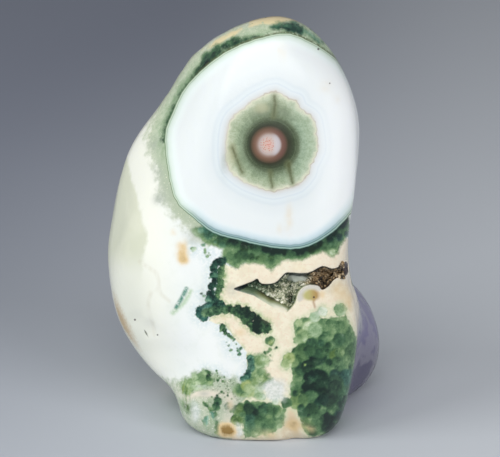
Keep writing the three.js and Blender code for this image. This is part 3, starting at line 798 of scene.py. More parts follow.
# %% The orb's outlines
HEART_EDGE = [
    (4.4, 49.6), (6.3, 48.5), (7.4, 48.2), (7.8, 47.1), (9.3, 46.2), (10.0, 45.2), (10.4, 42.6),
    (10.4, 41.0), (9.4, 39.0), (9.1, 37.8), (7.7, 36.2), (5.8, 35.6), (4.0, 35.2), (2.0, 35.7),
    (0.0, 36.5), (-1.7, 37.7), (-2.6, 39.1), (-2.8, 41.6), (-2.5, 44.4), (-1.7, 46.0),
    (-0.1, 47.2), (1.1, 48.2), (2.9, 49.1)]
RIM_CENTRE = (4.08, 42.25)
HEART_STEPS, ORB_STEPS = 2, 3
ORB_RADIUS, ORB_FLAT, ORB_CLOSING = 15.3, 4.5, 1.3
RIM_RADII = [
    (0, 15.2), (40, 15.4), (75, 15.75), (92, 15.45), (118, 14.8), (145, 15.1), (163, 15.3),
    (178, 15.75), (208, 16.3), (222, 15.8), (236, 15.6), (250, 14.9), (268, 15.05), (284, 15.7),
    (300, 15.5), (318, 15.15), (335, 15.05)]
rim_edge = [(RIM_CENTRE[0] + r * math.cos(math.radians(turn)),
             RIM_CENTRE[1] + r * math.sin(math.radians(turn))) for turn, r in RIM_RADII]
keep("heart", -run_distance(closed_curve(HEART_EDGE, HEART_STEPS), u, v))
orb_inside = -run_distance(closed_curve(rim_edge, ORB_STEPS), u, v)
closing = ORB_CLOSING * np.maximum(0.0, below - ORB_FLAT)
keep("orb", ORB_RADIUS - np.hypot(ORB_RADIUS - orb_inside, closing))
print("orb's reach, mm:", round(orb_inside.max(), 2))

# %% The orb's cracks
CRACKS = [
    ([(4.2, 48.9), (4.3, 47.6), (4.1, 46.0)], 0.06), ([(6.2, 39.2), (6.4, 38.0)], 0.16),
    ([(6.4, 38.0), (6.8, 36.4)], 0.07), ([(3.6, 38.0), (3.7, 36.9), (3.9, 35.8)], 0.02),
    ([(-1.8, 41.5), (-1.1, 39.6), (-0.4, 37.9)], 0.05)]
keep("crack", np.max([half - run_distance(np.array(path), u, v, closed=False)
                      for path, half in CRACKS], 0))
print("zones stored:", len(zones))

# %% [markdown]
# ## Short words for node building
#
# A material this rich has hundreds of nodes. Spelling each one out hides what it does, so a
# small class gives the nodes short names, and each layer of the finish becomes one line. A node
# is made after those that it reads and close to where it is used, because the renderer can hold
# only so many values at a time.

# %% Colours


def srgb(red, green, blue):
    """A colour given as display values, 0 to 255, in the linear values that nodes use."""
    shares = [c / 255.0 for c in (red, green, blue)]
    return tuple(c / 12.92 if c <= 0.04045 else ((c + 0.055) / 1.055) ** 2.4
                 for c in shares) + (1.0,)


print("middle grey, linear:", round(srgb(128, 128, 128)[0], 3))

# %% Node helper


class Graph:
    """Builds nodes in one tree. Values may be numbers, colours or other nodes' outputs."""

    def __init__(self, tree):
        self.tree = tree

    def node(self, kind, feeds=(), **settings):
        made = self.tree.nodes.new(kind)
        for name, setting in settings.items():
            setattr(made, name, setting)
        for key, value in dict(feeds).items():
            self.feed(made.inputs[key], value)
        return made

    def feed(self, socket, value):
        if isinstance(value, bpy.types.NodeSocket):
            self.tree.links.new(value, socket)
        else:
            socket.default_value = value

    def math(self, operation, a, b=0.0, c=0.0):
        return self.node("ShaderNodeMath", {0: a, 1: b, 2: c}, operation=operation).outputs[0]

    def vector(self, operation, a, b=(0, 0, 0)):
        made = self.node("ShaderNodeVectorMath", {0: a, 1: b}, operation=operation)
        numbers = ("LENGTH", "DISTANCE", "DOT_PRODUCT")
        return made.outputs["Value" if operation in numbers else "Vector"]

    def mix(self, factor, a, b, blend_type="MIX"):
        made = self.node("ShaderNodeMix", data_type="RGBA", blend_type=blend_type)
        for index, value in ((0, factor), (6, a), (7, b)):
            self.feed(made.inputs[index], value)
        return made.outputs[2]

    def blend(self, factor, a, b):
        """A number between a and b."""
        made = self.node("ShaderNodeMix", {0: factor, 2: a, 3: b}, data_type="FLOAT")
        return made.outputs[0]

    def span(self, value, low, high, start=0.0, end=1.0):
        """Eases from start to end as the value goes from low to high."""
        feeds = {0: value, 1: low, 2: high, 3: start, 4: end}
        made = self.node("ShaderNodeMapRange", feeds, interpolation_type="SMOOTHSTEP")
        return made.outputs[0]

    def noise(self, place, scale, detail=3.0, roughness=0.5, distortion=0.0):
        feeds = {"Vector": place, "Scale": scale, "Detail": detail,
                 "Roughness": roughness, "Distortion": distortion}
        return self.node("ShaderNodeTexNoise", feeds).outputs[0]

    def cells(self, place, scale):
        """The distance to the nearest cell's middle, the cell's own colour, and that middle."""
        made = self.node("ShaderNodeTexVoronoi", {"Vector": place, "Scale": scale})
        return made.outputs["Distance"], made.outputs["Color"], made.outputs["Position"]

    def ramp(self, factor, stops):
        """A colour ramp through the stops, each a position and a colour."""
        made = self.node("ShaderNodeValToRGB", {0: factor})
        band = made.color_ramp
        while len(band.elements) > 1:
            band.elements.remove(band.elements[-1])
        for i, (position, colour) in enumerate(stops):
            stop = band.elements[0] if i == 0 else band.elements.new(position)
            stop.position, stop.color = position, colour
        return made.outputs["Color"]

    def stored(self, name):
        return self.node("ShaderNodeAttribute", attribute_name=name).outputs["Fac"]

    def channel(self, colour, name="Red"):
        return self.node("ShaderNodeSeparateColor", {0: colour}).outputs[name]

    def axes(self, place):
        return self.node("ShaderNodeSeparateXYZ", {0: place}).outputs

    def scaled(self, place, factor):
        made = self.node("ShaderNodeVectorMath", {0: place, "Scale": factor}, operation="SCALE")
        return made.outputs[0]

    def sway(self, noise, amount, value):
        """The value, pushed down and up by a noise that goes from 0 to 1."""
        return self.math("MULTIPLY_ADD", self.math("SUBTRACT", noise, 0.5), amount, value)

    def mottled(self, noise, one, other, low=0.35, high=0.65):
        """One colour where the noise is low and another where it is high."""
        return self.mix(self.span(noise, low, high), one, other)

    def both(self, a, b, *more):
        """The product of two or more masks."""
        product = self.math("MULTIPLY", a, b)
        return self.both(product, *more) if more else product

    def group(self, tree, *values):
        """A node group, fed with its inputs in order."""
        made = self.node("ShaderNodeGroup", node_tree=tree)
        for socket, value in zip(made.inputs, values, strict=True):
            self.feed(socket, value)
        return made.outputs

    def report(self, what):
        print(what + ", nodes:", len(self.tree.nodes))


print("words:", [name for name in vars(Graph) if not name.startswith("_")])

# %% New groups and materials


def new_group(name, inputs, outputs):
    """A node group with named sockets. Returns it with its graph and its two end nodes."""
    tree = bpy.data.node_groups.new(name, "ShaderNodeTree")
    kinds = {"v": "NodeSocketVector", "f": "NodeSocketFloat", "c": "NodeSocketColor"}
    for way, sockets in (("INPUT", inputs), ("OUTPUT", outputs)):
        for label, kind in sockets:
            tree.interface.new_socket(name=label, in_out=way, socket_type=kinds[kind])
    graph = Graph(tree)
    return tree, graph, graph.node("NodeGroupInput").outputs, graph.node("NodeGroupOutput").inputs


def new_material(name):
    material = bpy.data.materials.new(name)
    material.use_nodes = True
    graph = Graph(material.node_tree)
    shader = material.node_tree.nodes["Principled BSDF"]
    return material, graph, shader


print("groups so far:", len(bpy.data.node_groups))

# %% [markdown]
# ## Group: a natural edge
#
# Where two zones meet, gel pushed against gel, so the edge wanders and buds. The group takes
# the stored distance, adds a noise to it and turns it into a mask with a given softness.

# %% Natural edge
natural_edge, g, given, out = new_group(
    "natural_edge", [("Distance", "f"), ("Noise", "f"), ("Wander", "f"), ("Softness", "f")],
    [("Mask", "f")])
moved = g.sway(given["Noise"], given["Wander"], given["Distance"])
inner = g.math("MULTIPLY", given["Softness"], -1.0)
g.feed(out["Mask"], g.span(moved, inner, given["Softness"]))


def edge(graph, distance, noise, wander, softness):
    return graph.group(natural_edge, distance, noise, wander, softness)["Mask"]


g.report("natural edge")

# %% [markdown]
# ## Group: green moss
#
# The moss is celadonite that grew as tiny overlapping balls. Cut and polished, each shows as a
# disc. Each disc is given painted shading: dark along its upper left rim and lighter towards the
# other side. One cell texture gives discs that only touch. Three sparse ones, each with its own
# offset and size, overlap as real balls do.

# %% Moss balls
BALL_LAYERS = [((3.1, 7.7, 1.9), 1.25), ((11.3, 2.9, 8.8), 1.0), ((5.7, 13.1, 4.4), 0.75)]
DISC, DISC_RIM, RIM_SIDE = (0.51, 0.39), (0.30, 0.48), (0.0, -0.4)
MOTTLE, OWN_TONE, SLANT_SHADE, RIM_SHADE_TONE, GRAIN = 0.55, 0.14, 0.13, -0.09, 0.16
moss_balls, g, given, out = new_group(
    "moss_balls", [("Position", "v"), ("Tone", "f"), ("Hue", "f"), ("Ball Size", "f")],
    [("Colour", "c")])
tone_now = g.sway(g.noise(given["Position"], 0.9, 4.0, 0.6), MOTTLE, given["Tone"])
for offset, size in BALL_LAYERS:
    placed = g.vector("ADD", given["Position"], offset)
    cell_scale = g.math("DIVIDE", 1.0 / size, given["Ball Size"])
    distance, colour, centre = g.cells(placed, cell_scale)
    there = g.span(g.channel(colour, "Green"), 0.45, 0.5)
    disc = g.both(g.span(distance, *DISC), there)
    aside = g.vector("SUBTRACT", placed, centre)
    # Painted shading on each disc: lighter towards LIT_SIDE, darker along its upper left rim.
    slant = g.both(g.vector("DOT_PRODUCT", aside, (*LIT_SIDE, 0.0)), cell_scale)
    own = g.sway(g.channel(colour), OWN_TONE, tone_now)
    own = g.math("MULTIPLY_ADD", slant, SLANT_SHADE, own)
    rim = g.both(g.span(distance, *DISC_RIM), g.span(slant, *RIM_SIDE))
    own = g.math("MULTIPLY_ADD", rim, RIM_SHADE_TONE, own)
    tone_now = g.blend(disc, tone_now, own)
tone_now = g.sway(g.noise(given["Position"], 4.5, 3.0), GRAIN, tone_now)
g.report("moss balls")

# %% Moss greens
green = g.ramp(tone_now, [
    (0.0, srgb(24, 42, 36)), (0.15, srgb(38, 64, 48)), (0.3, srgb(58, 92, 62)),
    (0.45, srgb(88, 123, 84)), (0.6, srgb(126, 155, 110)), (0.75, srgb(164, 187, 146)),
    (0.9, srgb(198, 212, 182)), (1.0, srgb(222, 228, 208))])
teal = g.ramp(tone_now, [
    (0.0, srgb(14, 42, 42)), (0.2, srgb(34, 76, 70)), (0.4, srgb(70, 120, 106)),
    (0.6, srgb(116, 160, 142)), (0.8, srgb(172, 202, 184)), (1.0, srgb(214, 226, 216))])
yellow = g.ramp(tone_now, [
    (0.0, srgb(34, 50, 22)), (0.2, srgb(58, 86, 38)), (0.4, srgb(96, 122, 58)),
    (0.6, srgb(142, 160, 88)), (0.8, srgb(188, 196, 132)), (1.0, srgb(224, 222, 174))])
green = g.mix(g.span(given["Hue"], 0.0, -1.0), green, teal)
g.feed(out["Colour"], g.mix(g.span(given["Hue"], 0.0, 1.0), green, yellow))


def moss(graph, place, tone, hue, size):
    return graph.group(moss_balls, place, tone, hue, size)["Colour"]


g.report("moss balls with greens")

# %% [markdown]
# ## Group: an orb
#
# An orb grew outwards in shells from a red speck. Cut through, it shows a rosy core, a dark
# ring, a green heart with a lobed edge, then milky white shells and a fine double line of green.
# Near the core the rings are round and read off a colour ramp by the distance from the centre.
# Further out they follow the heart's edge and the orb's rim, which aren't round, so the group is
# given the distance to each. Small orbs use it with everything scaled down.

# %% Orb: the core
CORE_REACH, HEART_START, SHELL_REACH, RIM_REACH = 4.4, 4.1, 4.0, 2.2
RING_BULGE = -0.09
orb_rings, g, given, out = new_group(
    "orb_rings", [("Position", "v"), ("Heart Inside", "f"), ("Rim Inside", "f"),
                  ("Low Side", "f"), ("Noise", "f")], [("Colour", "c"), ("Mask", "f")])
radius = g.vector("LENGTH", given["Position"])
across = g.axes(given["Position"])["X"]
pull = g.math("MULTIPLY", g.span(radius, 2.4, 3.4), RING_BULGE)
ring = g.math("MULTIPLY_ADD", across, pull, radius)
core = g.ramp(g.math("DIVIDE", ring, CORE_REACH), [
    (0.0, srgb(214, 174, 166)), (0.13, srgb(208, 178, 166)), (0.20, srgb(200, 182, 172)),
    (0.26, srgb(194, 180, 174)), (0.325, srgb(180, 164, 158)), (0.38, srgb(150, 126, 114)),
    (0.44, srgb(126, 96, 80)), (0.52, srgb(104, 80, 62)), (0.57, srgb(82, 68, 50)),
    (0.62, srgb(50, 52, 36)), (0.68, srgb(54, 62, 44)), (0.76, srgb(66, 77, 57)),
    (0.79, srgb(86, 98, 77)), (0.82, srgb(80, 92, 71)), (0.90, srgb(106, 119, 97)),
    (1.0, srgb(124, 139, 116))])
mauve = g.both(g.span(across, -0.5, 2.0), g.span(radius, 1.6, 2.0),
               g.span(radius, 2.7, 2.3, 0.0, 0.4))
core = g.mix(mauve, core, srgb(106, 68, 70))
bluish = g.both(g.span(across, 0.2, 1.1), g.span(radius, 1.9, 1.5), 0.5)
core = g.mix(bluish, core, srgb(204, 204, 214))
g.report("orb core")

# %% Orb: fibres and shells in the heart
FIBRE_TURNS, FIBRE_STRETCH, LAYERS_PER_MM = 6.0, 0.7, 3.4
direction = g.vector("NORMALIZE", given["Position"])
fibre_place = g.scaled(direction, FIBRE_TURNS)
fibre_place = g.vector("ADD", fibre_place, g.node(
    "ShaderNodeCombineXYZ", {"Z": g.math("MULTIPLY", radius, FIBRE_STRETCH)}).outputs[0])
fibre = g.noise(fibre_place, 1.4, 3.0, 0.6)
layer_place = g.vector("ADD", g.node("ShaderNodeCombineXYZ", {
    "X": g.math("MULTIPLY", ring, LAYERS_PER_MM)}).outputs[0], direction)
layers = g.noise(layer_place, 1.0, 2.0, 0.5)
g.report("orb fibres")

# %% Orb: the green heart
LOBE_SIZE, LOBE_NOISE = -0.45, -0.35
past = g.math("SUBTRACT", ring, HEART_START)
scallops = g.cells(given["Position"], 1.3)[0]
scallops = g.math("MULTIPLY_ADD", g.noise(given["Position"], 2.2, 2.0), LOBE_NOISE, scallops)
lobed = g.math("MULTIPLY_ADD", g.math("SUBTRACT", scallops, 0.25), LOBE_SIZE,
               given["Heart Inside"])
along = g.math("DIVIDE", past, g.math("ADD", past, lobed))
along = g.sway(fibre, 0.22, along)
along = g.sway(layers, 0.18, along)
heart = g.ramp(along, [
    (0.0, srgb(124, 139, 115)), (0.25, srgb(142, 157, 133)), (0.5, srgb(163, 176, 151)),
    (0.75, srgb(182, 191, 168)), (1.0, srgb(206, 210, 190))])
heart = g.mix(g.span(across, 1.0, 5.0, 0.0, 0.35), heart, srgb(176, 198, 180))
rings = g.mix(g.span(ring, HEART_START - 0.3, HEART_START + 0.3), core, heart)
speckle = g.noise(given["Position"], 5.0, 2.0, 0.7)
layered = g.span(ring, 5.0, 3.5, 0.15, 0.6)
weave = g.blend(0.45, g.blend(layered, fibre, layers), speckle)
grain = g.mottled(weave, srgb(132, 138, 124), srgb(214, 216, 208), 0.3, 0.7)
rings = g.mix(g.both(g.span(ring, 2.6, 3.4), 0.8), rings, grain, "SOFT_LIGHT")
fringe = g.both(g.span(lobed, 0.55, 0.08), 0.75)
rings = g.mix(fringe, rings, srgb(218, 217, 196))
g.report("orb heart")

# %% Orb: the white shells
beyond = g.math("MULTIPLY", given["Heart Inside"], -1.0 / SHELL_REACH)
shell = g.ramp(beyond, [
    (0.0, srgb(210, 207, 198)), (0.05, srgb(214, 216, 214)), (0.14, srgb(218, 224, 226)),
    (0.22, srgb(222, 229, 231)), (0.27, srgb(214, 223, 228)), (0.33, srgb(223, 231, 233)),
    (0.45, srgb(218, 226, 229)), (0.55, srgb(225, 231, 232)), (1.0, srgb(231, 236, 236))])
shell = g.mix(g.span(across, 4.0, 12.0, 0.0, 0.8), shell, srgb(247, 250, 250))
rings = g.mix(g.span(lobed, 0.08, -0.06), rings, shell)
hairline = g.both(g.span(lobed, 0.10, 0.0), g.span(lobed, -0.17, -0.03),
                  g.span(across, -3.5, 0.0, 0.35, 0.8), g.span(given["Noise"], 0.3, 0.6, 0.3, 0.8))
rings = g.mix(hairline, rings, srgb(180, 168, 152))
g.report("orb shells")

# %% Orb: the rim's double line
wavy = g.sway(given["Noise"], 0.20, given["Rim Inside"])
rim_place = g.math("DIVIDE", wavy, RIM_REACH)
low_rim = g.ramp(rim_place, [
    (0.0, srgb(64, 96, 86)), (0.03, srgb(84, 118, 108)), (0.07, srgb(172, 200, 190)),
    (0.115, srgb(140, 170, 163)), (0.16, srgb(88, 120, 121)), (0.215, srgb(154, 182, 183)),
    (0.27, srgb(132, 160, 165)), (0.35, srgb(188, 208, 213)), (0.5, srgb(208, 223, 228)),
    (0.75, srgb(224, 235, 238)), (1.0, srgb(233, 241, 243))])
high_rim = g.ramp(rim_place, [
    (0.0, srgb(112, 136, 104)), (0.03, srgb(118, 144, 112)), (0.065, srgb(198, 212, 190)),
    (0.10, srgb(202, 216, 198)), (0.135, srgb(164, 186, 164)), (0.18, srgb(206, 222, 208)),
    (0.30, srgb(222, 234, 226)), (0.55, srgb(234, 243, 241)), (1.0, srgb(238, 245, 244))])
rim_colour = g.mix(given["Low Side"], high_rim, low_rim)
rings = g.mix(g.span(wavy, RIM_REACH, 0.5 * RIM_REACH), rings, rim_colour)
g.report("orb rim")

# %% Orb: the red speck
SPECK_OFF = (0.2, 0.0, 0.0)
speck_place = g.vector("ADD", given["Position"], SPECK_OFF)
specks = g.cells(speck_place, 4.2)[0]
speck_mask = g.both(g.span(specks, 0.50, 0.2),
                    g.span(g.vector("LENGTH", speck_place), 1.35, 0.8), 0.8)
rings = g.mix(speck_mask, rings, srgb(196, 108, 98))
g.feed(out["Colour"], rings)
g.feed(out["Mask"], g.span(wavy, -0.05, 0.05))


def orb(graph, place, heart_inside, rim_inside, low_side, noise):
    made = graph.group(orb_rings, place, heart_inside, rim_inside, low_side, noise)
    return made["Colour"], made["Mask"]


g.report("orb")

# %% [markdown]
# ## The stone's finish
#
# The layers go on in the order that nature drew them: milky chalcedony first, then the green
# and cream zones, the orbs, and last the thin lines and stains. The position is read in the
# face frame, through a Mapping node that undoes the lean and the scale.

# %% Stone material: place and noises
jasper, g, shader = new_material("jasper")
origin = [c * MM for c in (np.array([0.0, 0.0, FLOOR_DROP]) + shift)]


def face_place(graph):
    """The shaded point in the face frame, in millimetres."""
    feeds = {"Vector": graph.node("ShaderNodeTexCoord").outputs["Object"], "Location": origin,
             "Rotation": (math.pi / 2 - LEAN, 0.0, 0.0), "Scale": (MM, MM, MM)}
    return graph.node("ShaderNodeMapping", feeds, vector_type="TEXTURE").outputs[0]


place = face_place(g)
axes = g.axes(place)
cloud = g.noise(place, 0.12, 3.0)
mid = g.noise(place, 0.9, 4.0)
fine = g.noise(place, 2.6, 4.0)
tiny = g.noise(place, 5.0, 3.0)
buds = g.math("SUBTRACT", 1.0, g.cells(place, 1.5)[0])
small_buds = g.math("SUBTRACT", 1.0, g.cells(place, 2.4)[0])
g.report("noises ready")

# %% Stone material: milky base
orb_inside, moss_inside, soft_inside = g.stored("orb"), g.stored("moss"), g.stored("soft_moss")
deep_inside = g.stored("deep")
colour = g.mottled(cloud, srgb(240, 243, 241), srgb(234, 239, 235))
colour = g.mix(g.span(mid, 0.5, 0.75, 0.0, 0.25), colour, srgb(224, 230, 222))
colour = g.mix(g.span(axes["X"], -8.0, -14.0), colour, srgb(244, 245, 234))
mossy = g.math("MAXIMUM", deep_inside, moss_inside)
colour = g.mix(g.both(g.span(mossy, -1.6, 0.0, 0.0, 0.6), g.span(fine, 0.3, 0.6)), colour,
               srgb(204, 220, 222))
g.report("base laid")

# %% Stone material: beige flank
beige_colour = g.mottled(cloud, srgb(226, 228, 208), srgb(218, 221, 200), 0.4, 0.6)
beige = g.both(edge(g, g.stored("beige"), mid, 0.8, 0.35), g.span(axes["Y"], 20.5, 27.0))
colour = g.mix(beige, colour, beige_colour)
colour = g.mix(g.both(g.span(axes["Y"], 27.0, 21.0), g.span(axes["X"], -12.0, -17.0)),
               colour, srgb(232, 234, 221))
g.report("beige laid")

# %% Stone material: the band along the rim
near_orb = g.span(g.math("MULTIPLY_ADD", mid, 1.8, orb_inside), -2.2, 0.7)
band_colour = g.mottled(fine, srgb(190, 203, 174), srgb(216, 221, 198))
band_colour = g.mix(near_orb, band_colour,
                    g.mottled(mid, srgb(157, 181, 147), srgb(193, 207, 180)))
low_band = g.mottled(fine, srgb(206, 210, 196), srgb(226, 228, 216), 0.4, 0.6)
low_band = g.mix(near_orb, low_band, srgb(178, 190, 166))
band_colour = g.mix(g.span(axes["Y"], 44.0, 36.0), band_colour, low_band)
band_colour = g.mix(g.span(tiny, 0.38, 0.32, 0.0, 0.7), band_colour, srgb(232, 232, 212))
rim_shade = g.both(g.span(orb_inside, -1.3, -0.3), g.span(axes["X"], 5.0, -2.0, 0.0, 0.6),
                   g.span(axes["Y"], 38.0, 49.0))
band_colour = g.mix(rim_shade, band_colour, srgb(100, 134, 96))
colour = g.mix(edge(g, g.stored("band"), mid, 3.2, 0.8), colour, band_colour)
g.report("band laid")

# %% Stone material: the ground of the foot
ground = g.mottled(mid, srgb(203, 209, 189), srgb(156, 176, 143))
ground = g.mix(g.span(axes["Y"], 3.0, 0.5, 0.0, 0.5), ground, srgb(160, 174, 146))
ground = g.mix(g.span(axes["X"], -6.0, -3.5, 0.0, 0.4), ground, srgb(160, 178, 152))
ground = g.mix(g.both(g.span(fine, 0.55, 0.63), g.span(axes["Y"], 4.2, 6.0),
                      g.span(axes["X"], -9.5, -6.0, 0.0, 0.7)), ground, srgb(100, 120, 92))
ground = g.mix(g.span(tiny, 0.42, 0.34, 0.0, 0.7), ground, srgb(234, 231, 218))
ground = g.mix(g.both(g.stored("tan"), g.span(mid, 0.2, 0.5)), ground, srgb(231, 222, 206))
colour = g.mix(edge(g, g.stored("foot_ground"), mid, 2.2, 0.7), colour, ground)
g.report("foot's ground laid")

# %% Stone material: the cream zone
cream_colour = g.mottled(mid, srgb(240, 233, 210), srgb(233, 223, 198), 0.4)
cream_colour = g.mix(g.span(cloud, 0.45, 0.6, 0.0, 0.4), cream_colour, srgb(240, 226, 204))
cream_colour = g.mix(g.span(fine, 0.52, 0.66, 0.0, 0.6), cream_colour, srgb(234, 214, 190))
cream_colour = g.mix(g.both(g.stored("tan"), g.span(mid, 0.2, 0.5)), cream_colour,
                     srgb(218, 198, 164))
cream_colour = g.mix(g.both(g.span(moss_inside, -0.8, 0.05), g.span(fine, 0.3, 0.6, 0.2, 0.8)),
                     cream_colour, srgb(204, 212, 176))
cream_colour = g.mix(g.both(g.span(deep_inside, -0.8, 0.0), g.span(fine, 0.35, 0.6, 0.1, 0.8)),
                     cream_colour, srgb(176, 194, 146))
colour = g.mix(edge(g, g.stored("cream"), mid, 0.5, 0.12), colour, cream_colour)
g.report("cream laid")

# %% Stone material: the moss
tone, hue = g.stored("tone"), g.stored("hue")
shade_under = g.span(orb_inside, -1.7, -0.1, 0.0, -0.26)
thin_edge = g.span(g.math("MAXIMUM", moss_inside, soft_inside), 0.9, 0.0, 0.0, 0.13)
moss_tone = g.math("ADD", g.math("ADD", tone, shade_under), thin_edge)
green = moss(g, place, moss_tone, hue, 1.1)
cap_colour = g.mix(mid, srgb(244, 231, 190), srgb(232, 216, 168))
colour = g.mix(edge(g, g.stored("cap"), mid, 0.8, 0.25), colour, cap_colour)
blotch = g.math("MULTIPLY_ADD", mid, 0.6, g.math("MULTIPLY", fine, 0.4))
colour = g.mix(edge(g, soft_inside, blotch, 1.3, 0.32), colour, green)
colour = g.mix(edge(g, moss_inside, buds, 0.40, 0.13), colour, green)
milk = g.sway(mid, 1.1, g.stored("milk"))
milk_colour = g.mottled(fine, srgb(230, 233, 230), srgb(206, 214, 208))
colour = g.mix(g.span(milk, 0.1, 1.0, 0.0, 0.85), colour, milk_colour)
g.report("moss laid")

# %% Stone material: the far side
deep_place = g.math("MULTIPLY_ADD", mid, 4.0, axes["Z"])
deep_place = g.math("ADD", deep_place, g.span(axes["X"], -8.0, -16.0, 0.0, 5.0))
deep_place = g.math("ADD", deep_place, g.span(axes["X"], 10.0, 15.0, 0.0, -4.5))
far_side = g.span(deep_place, -10.0, -12.5)
gel = g.noise(place, 0.10, 4.0, 0.6, 0.5)
far_colour = g.mottled(cloud, srgb(238, 241, 236), srgb(224, 226, 208), high=0.6)
far_colour = g.mix(g.span(gel, 0.43, 0.47), far_colour, srgb(238, 229, 206))
far_tone = g.sway(g.noise(place, 0.35, 3.0), 1.9, 0.42)
far_moss = moss(g, place, far_tone, g.span(cloud, 0.3, 0.7, -0.7, 0.5), 1.3)
gel_edge = g.math("MULTIPLY_ADD", buds, 0.05, gel)
far_colour = g.mix(g.span(gel_edge, 0.545, 0.555), far_colour, far_moss)
far_line = g.both(g.span(gel, 0.425, 0.440), g.span(gel, 0.460, 0.447), g.span(fine, 0.35, 0.6))
far_colour = g.mix(far_line, far_colour, srgb(84, 126, 104))
colour = g.mix(far_side, colour, far_colour)
g.report("far side laid")

# %% Stone material: the small orbs
SMALL_ORBS = [((-2.0, 41.0, -21.5), 8.5), ((7.5, 27.5, -26.0), 5.5), ((-10.0, 24.0, -23.0), 4.5),
              ((-1.0, 14.5, -32.0), 5.0), ((6.0, 53.0, -15.5), 3.2), ((-14.5, 38.0, -18.5), 3.6)]
BIG_HEART, FAR_OFF = 6.6, 60.0
nearest, reach = (FAR_OFF, 0.0, 0.0), FAR_OFF
for centre, orb_radius in SMALL_ORBS:
    swollen = g.scaled(g.vector("SUBTRACT", place, centre), ORB_RADIUS / orb_radius)
    this_reach = g.vector("LENGTH", swollen)
    nearer = g.math("LESS_THAN", this_reach, reach)
    nearest = g.node("ShaderNodeMix", {0: nearer, 4: nearest, 5: swollen},
                     data_type="VECTOR").outputs[1]
    reach = g.math("MINIMUM", this_reach, reach)
wavy_reach = g.sway(mid, 2.5, reach)
small_colour, small_mask = orb(g, nearest, g.math("SUBTRACT", BIG_HEART, wavy_reach),
                               g.math("SUBTRACT", ORB_RADIUS, wavy_reach), 0.4, mid)
colour = g.mix(g.both(small_mask, g.span(axes["Z"], -9.0, -11.0)), colour, small_colour)
g.report("small orbs laid")

# %% Stone material: the big orb
ORB_CENTRE = (3.43, 41.9, 0.0)
from_orb = g.vector("SUBTRACT", place, ORB_CENTRE)
height = g.axes(from_orb)["Y"]
low_side = g.span(g.math("DIVIDE", height, g.vector("LENGTH", from_orb)), -0.5, -0.85)
orb_colour, orb_mask = orb(g, from_orb, g.stored("heart"), orb_inside, low_side, mid)
shaded_top = g.both(g.span(height, 2.8, 4.6), g.span(g.stored("heart"), 0.5, 2.0, 0.0, 0.45))
orb_colour = g.mix(shaded_top, orb_colour, srgb(92, 104, 76))
crack = g.sway(fine, 0.25, g.stored("crack"))
orb_colour = g.mix(g.span(g.stored("heart_pale"), 0.1, 0.9, 0.0, 0.65), orb_colour,
                   srgb(188, 188, 156))
orb_colour = g.mix(g.span(crack, -0.8, 0.1, 0.0, 0.6), orb_colour, srgb(108, 114, 76))
orb_colour = g.mix(g.span(crack, -0.22, 0.08, 0.0, 0.6), orb_colour, srgb(74, 80, 48))
colour = g.mix(orb_mask, colour, orb_colour)
g.report("big orb laid")

# %% Stone material: the lobe's painted shadow and the orb's rim line
from_lobe = g.vector("DISTANCE", place, LOBE_CENTRE)
lobe_near = g.math("MULTIPLY_ADD", cloud, 5.0, g.math("MULTIPLY_ADD", mid, 1.5, from_lobe))
# The lobe's dim purple-grey is painted shadow with a painted purple cast, and it darkens towards the
# bottom as painted shade. The pale shells are its own banding.
lobe_shadow_colour = g.mix(g.span(axes["Y"], 16.0, 9.0), srgb(110, 105, 142), srgb(80, 76, 102))
shells = g.math("SINE", g.math("MULTIPLY_ADD", lobe_near, 2.2, g.math("MULTIPLY", cloud, 9.0)))
lobe_shadow_colour = g.mix(g.span(shells, -0.2, 1.0, 0.0, 0.4), lobe_shadow_colour, srgb(150, 149, 158))
lobe_mask = g.both(g.span(lobe_near, 19.5, 13.5), g.span(axes["Z"], -28.0, -19.0, 0.45, 1.0))
colour = g.mix(lobe_mask, colour, lobe_shadow_colour)
rim_line = g.both(g.span(orb_inside, -0.32, -0.06), g.span(orb_inside, 0.10, -0.02),
                  g.span(axes["Y"], 50.0, 54.0, 0.0, 0.8))
colour = g.mix(g.both(rim_line, g.span(fine, 0.35, 0.55)), colour, srgb(86, 92, 64))
g.report("lobe laid")

# %% Stone material: threads and streaks
thread_tone = g.sway(fine, 0.55, tone)
off_orb = g.math("SUBTRACT", 1.0, orb_mask)
thread_mask = g.both(edge(g, deep_inside, small_buds, 0.28, 0.12), off_orb)
colour = g.mix(thread_mask, colour, moss(g, place, thread_tone, hue, 0.5))


def stripe(graph, name, half_width, soft):
    """A mask along a stored path."""
    return graph.span(graph.stored(name), -half_width - soft, soft - half_width)


colour = g.mix(g.both(stripe(g, "streak_pale", 0.3, 0.35), g.span(fine, 0.3, 0.55, 0.3, 0.8)),
               colour, srgb(178, 204, 168))
colour = g.mix(g.both(stripe(g, "streak", 0.26, 0.24), g.span(fine, 0.3, 0.5, 0.35, 1.0)),
               colour, srgb(84, 140, 122))
g.report("threads laid")

# %% Stone material: stains and seams
# Grey clay stains, and one spot of painted shade on the bulge below the pocket.
colour = g.mix(g.both(g.stored("smoke"), g.span(mid, 0.2, 0.6)), colour, srgb(156, 166, 156))
ochre = g.both(g.stored("ochre"), g.span(mid, 0.15, 0.7, 0.6, 1.25))
colour = g.mix(g.span(ochre, 0.0, 0.75), colour, srgb(228, 203, 156))
colour = g.mix(g.span(ochre, 0.5, 1.5), colour, srgb(150, 120, 64))
rust_mask = g.both(edge(g, g.stored("rust_streak"), fine, 1.0, 0.7), 0.85)
colour = g.mix(rust_mask, colour, srgb(184, 154, 106))
colour = g.mix(g.span(g.stored("seam"), -0.5, 0.0, 0.0, 0.28), colour, srgb(208, 202, 180))
colour = g.mix(g.span(g.stored("slit"), -0.22, -0.06, 0.0, 0.85), colour, srgb(92, 98, 80))
colour = g.mix(edge(g, g.stored("halo"), mid, 0.3, 0.25), colour, srgb(208, 204, 193))
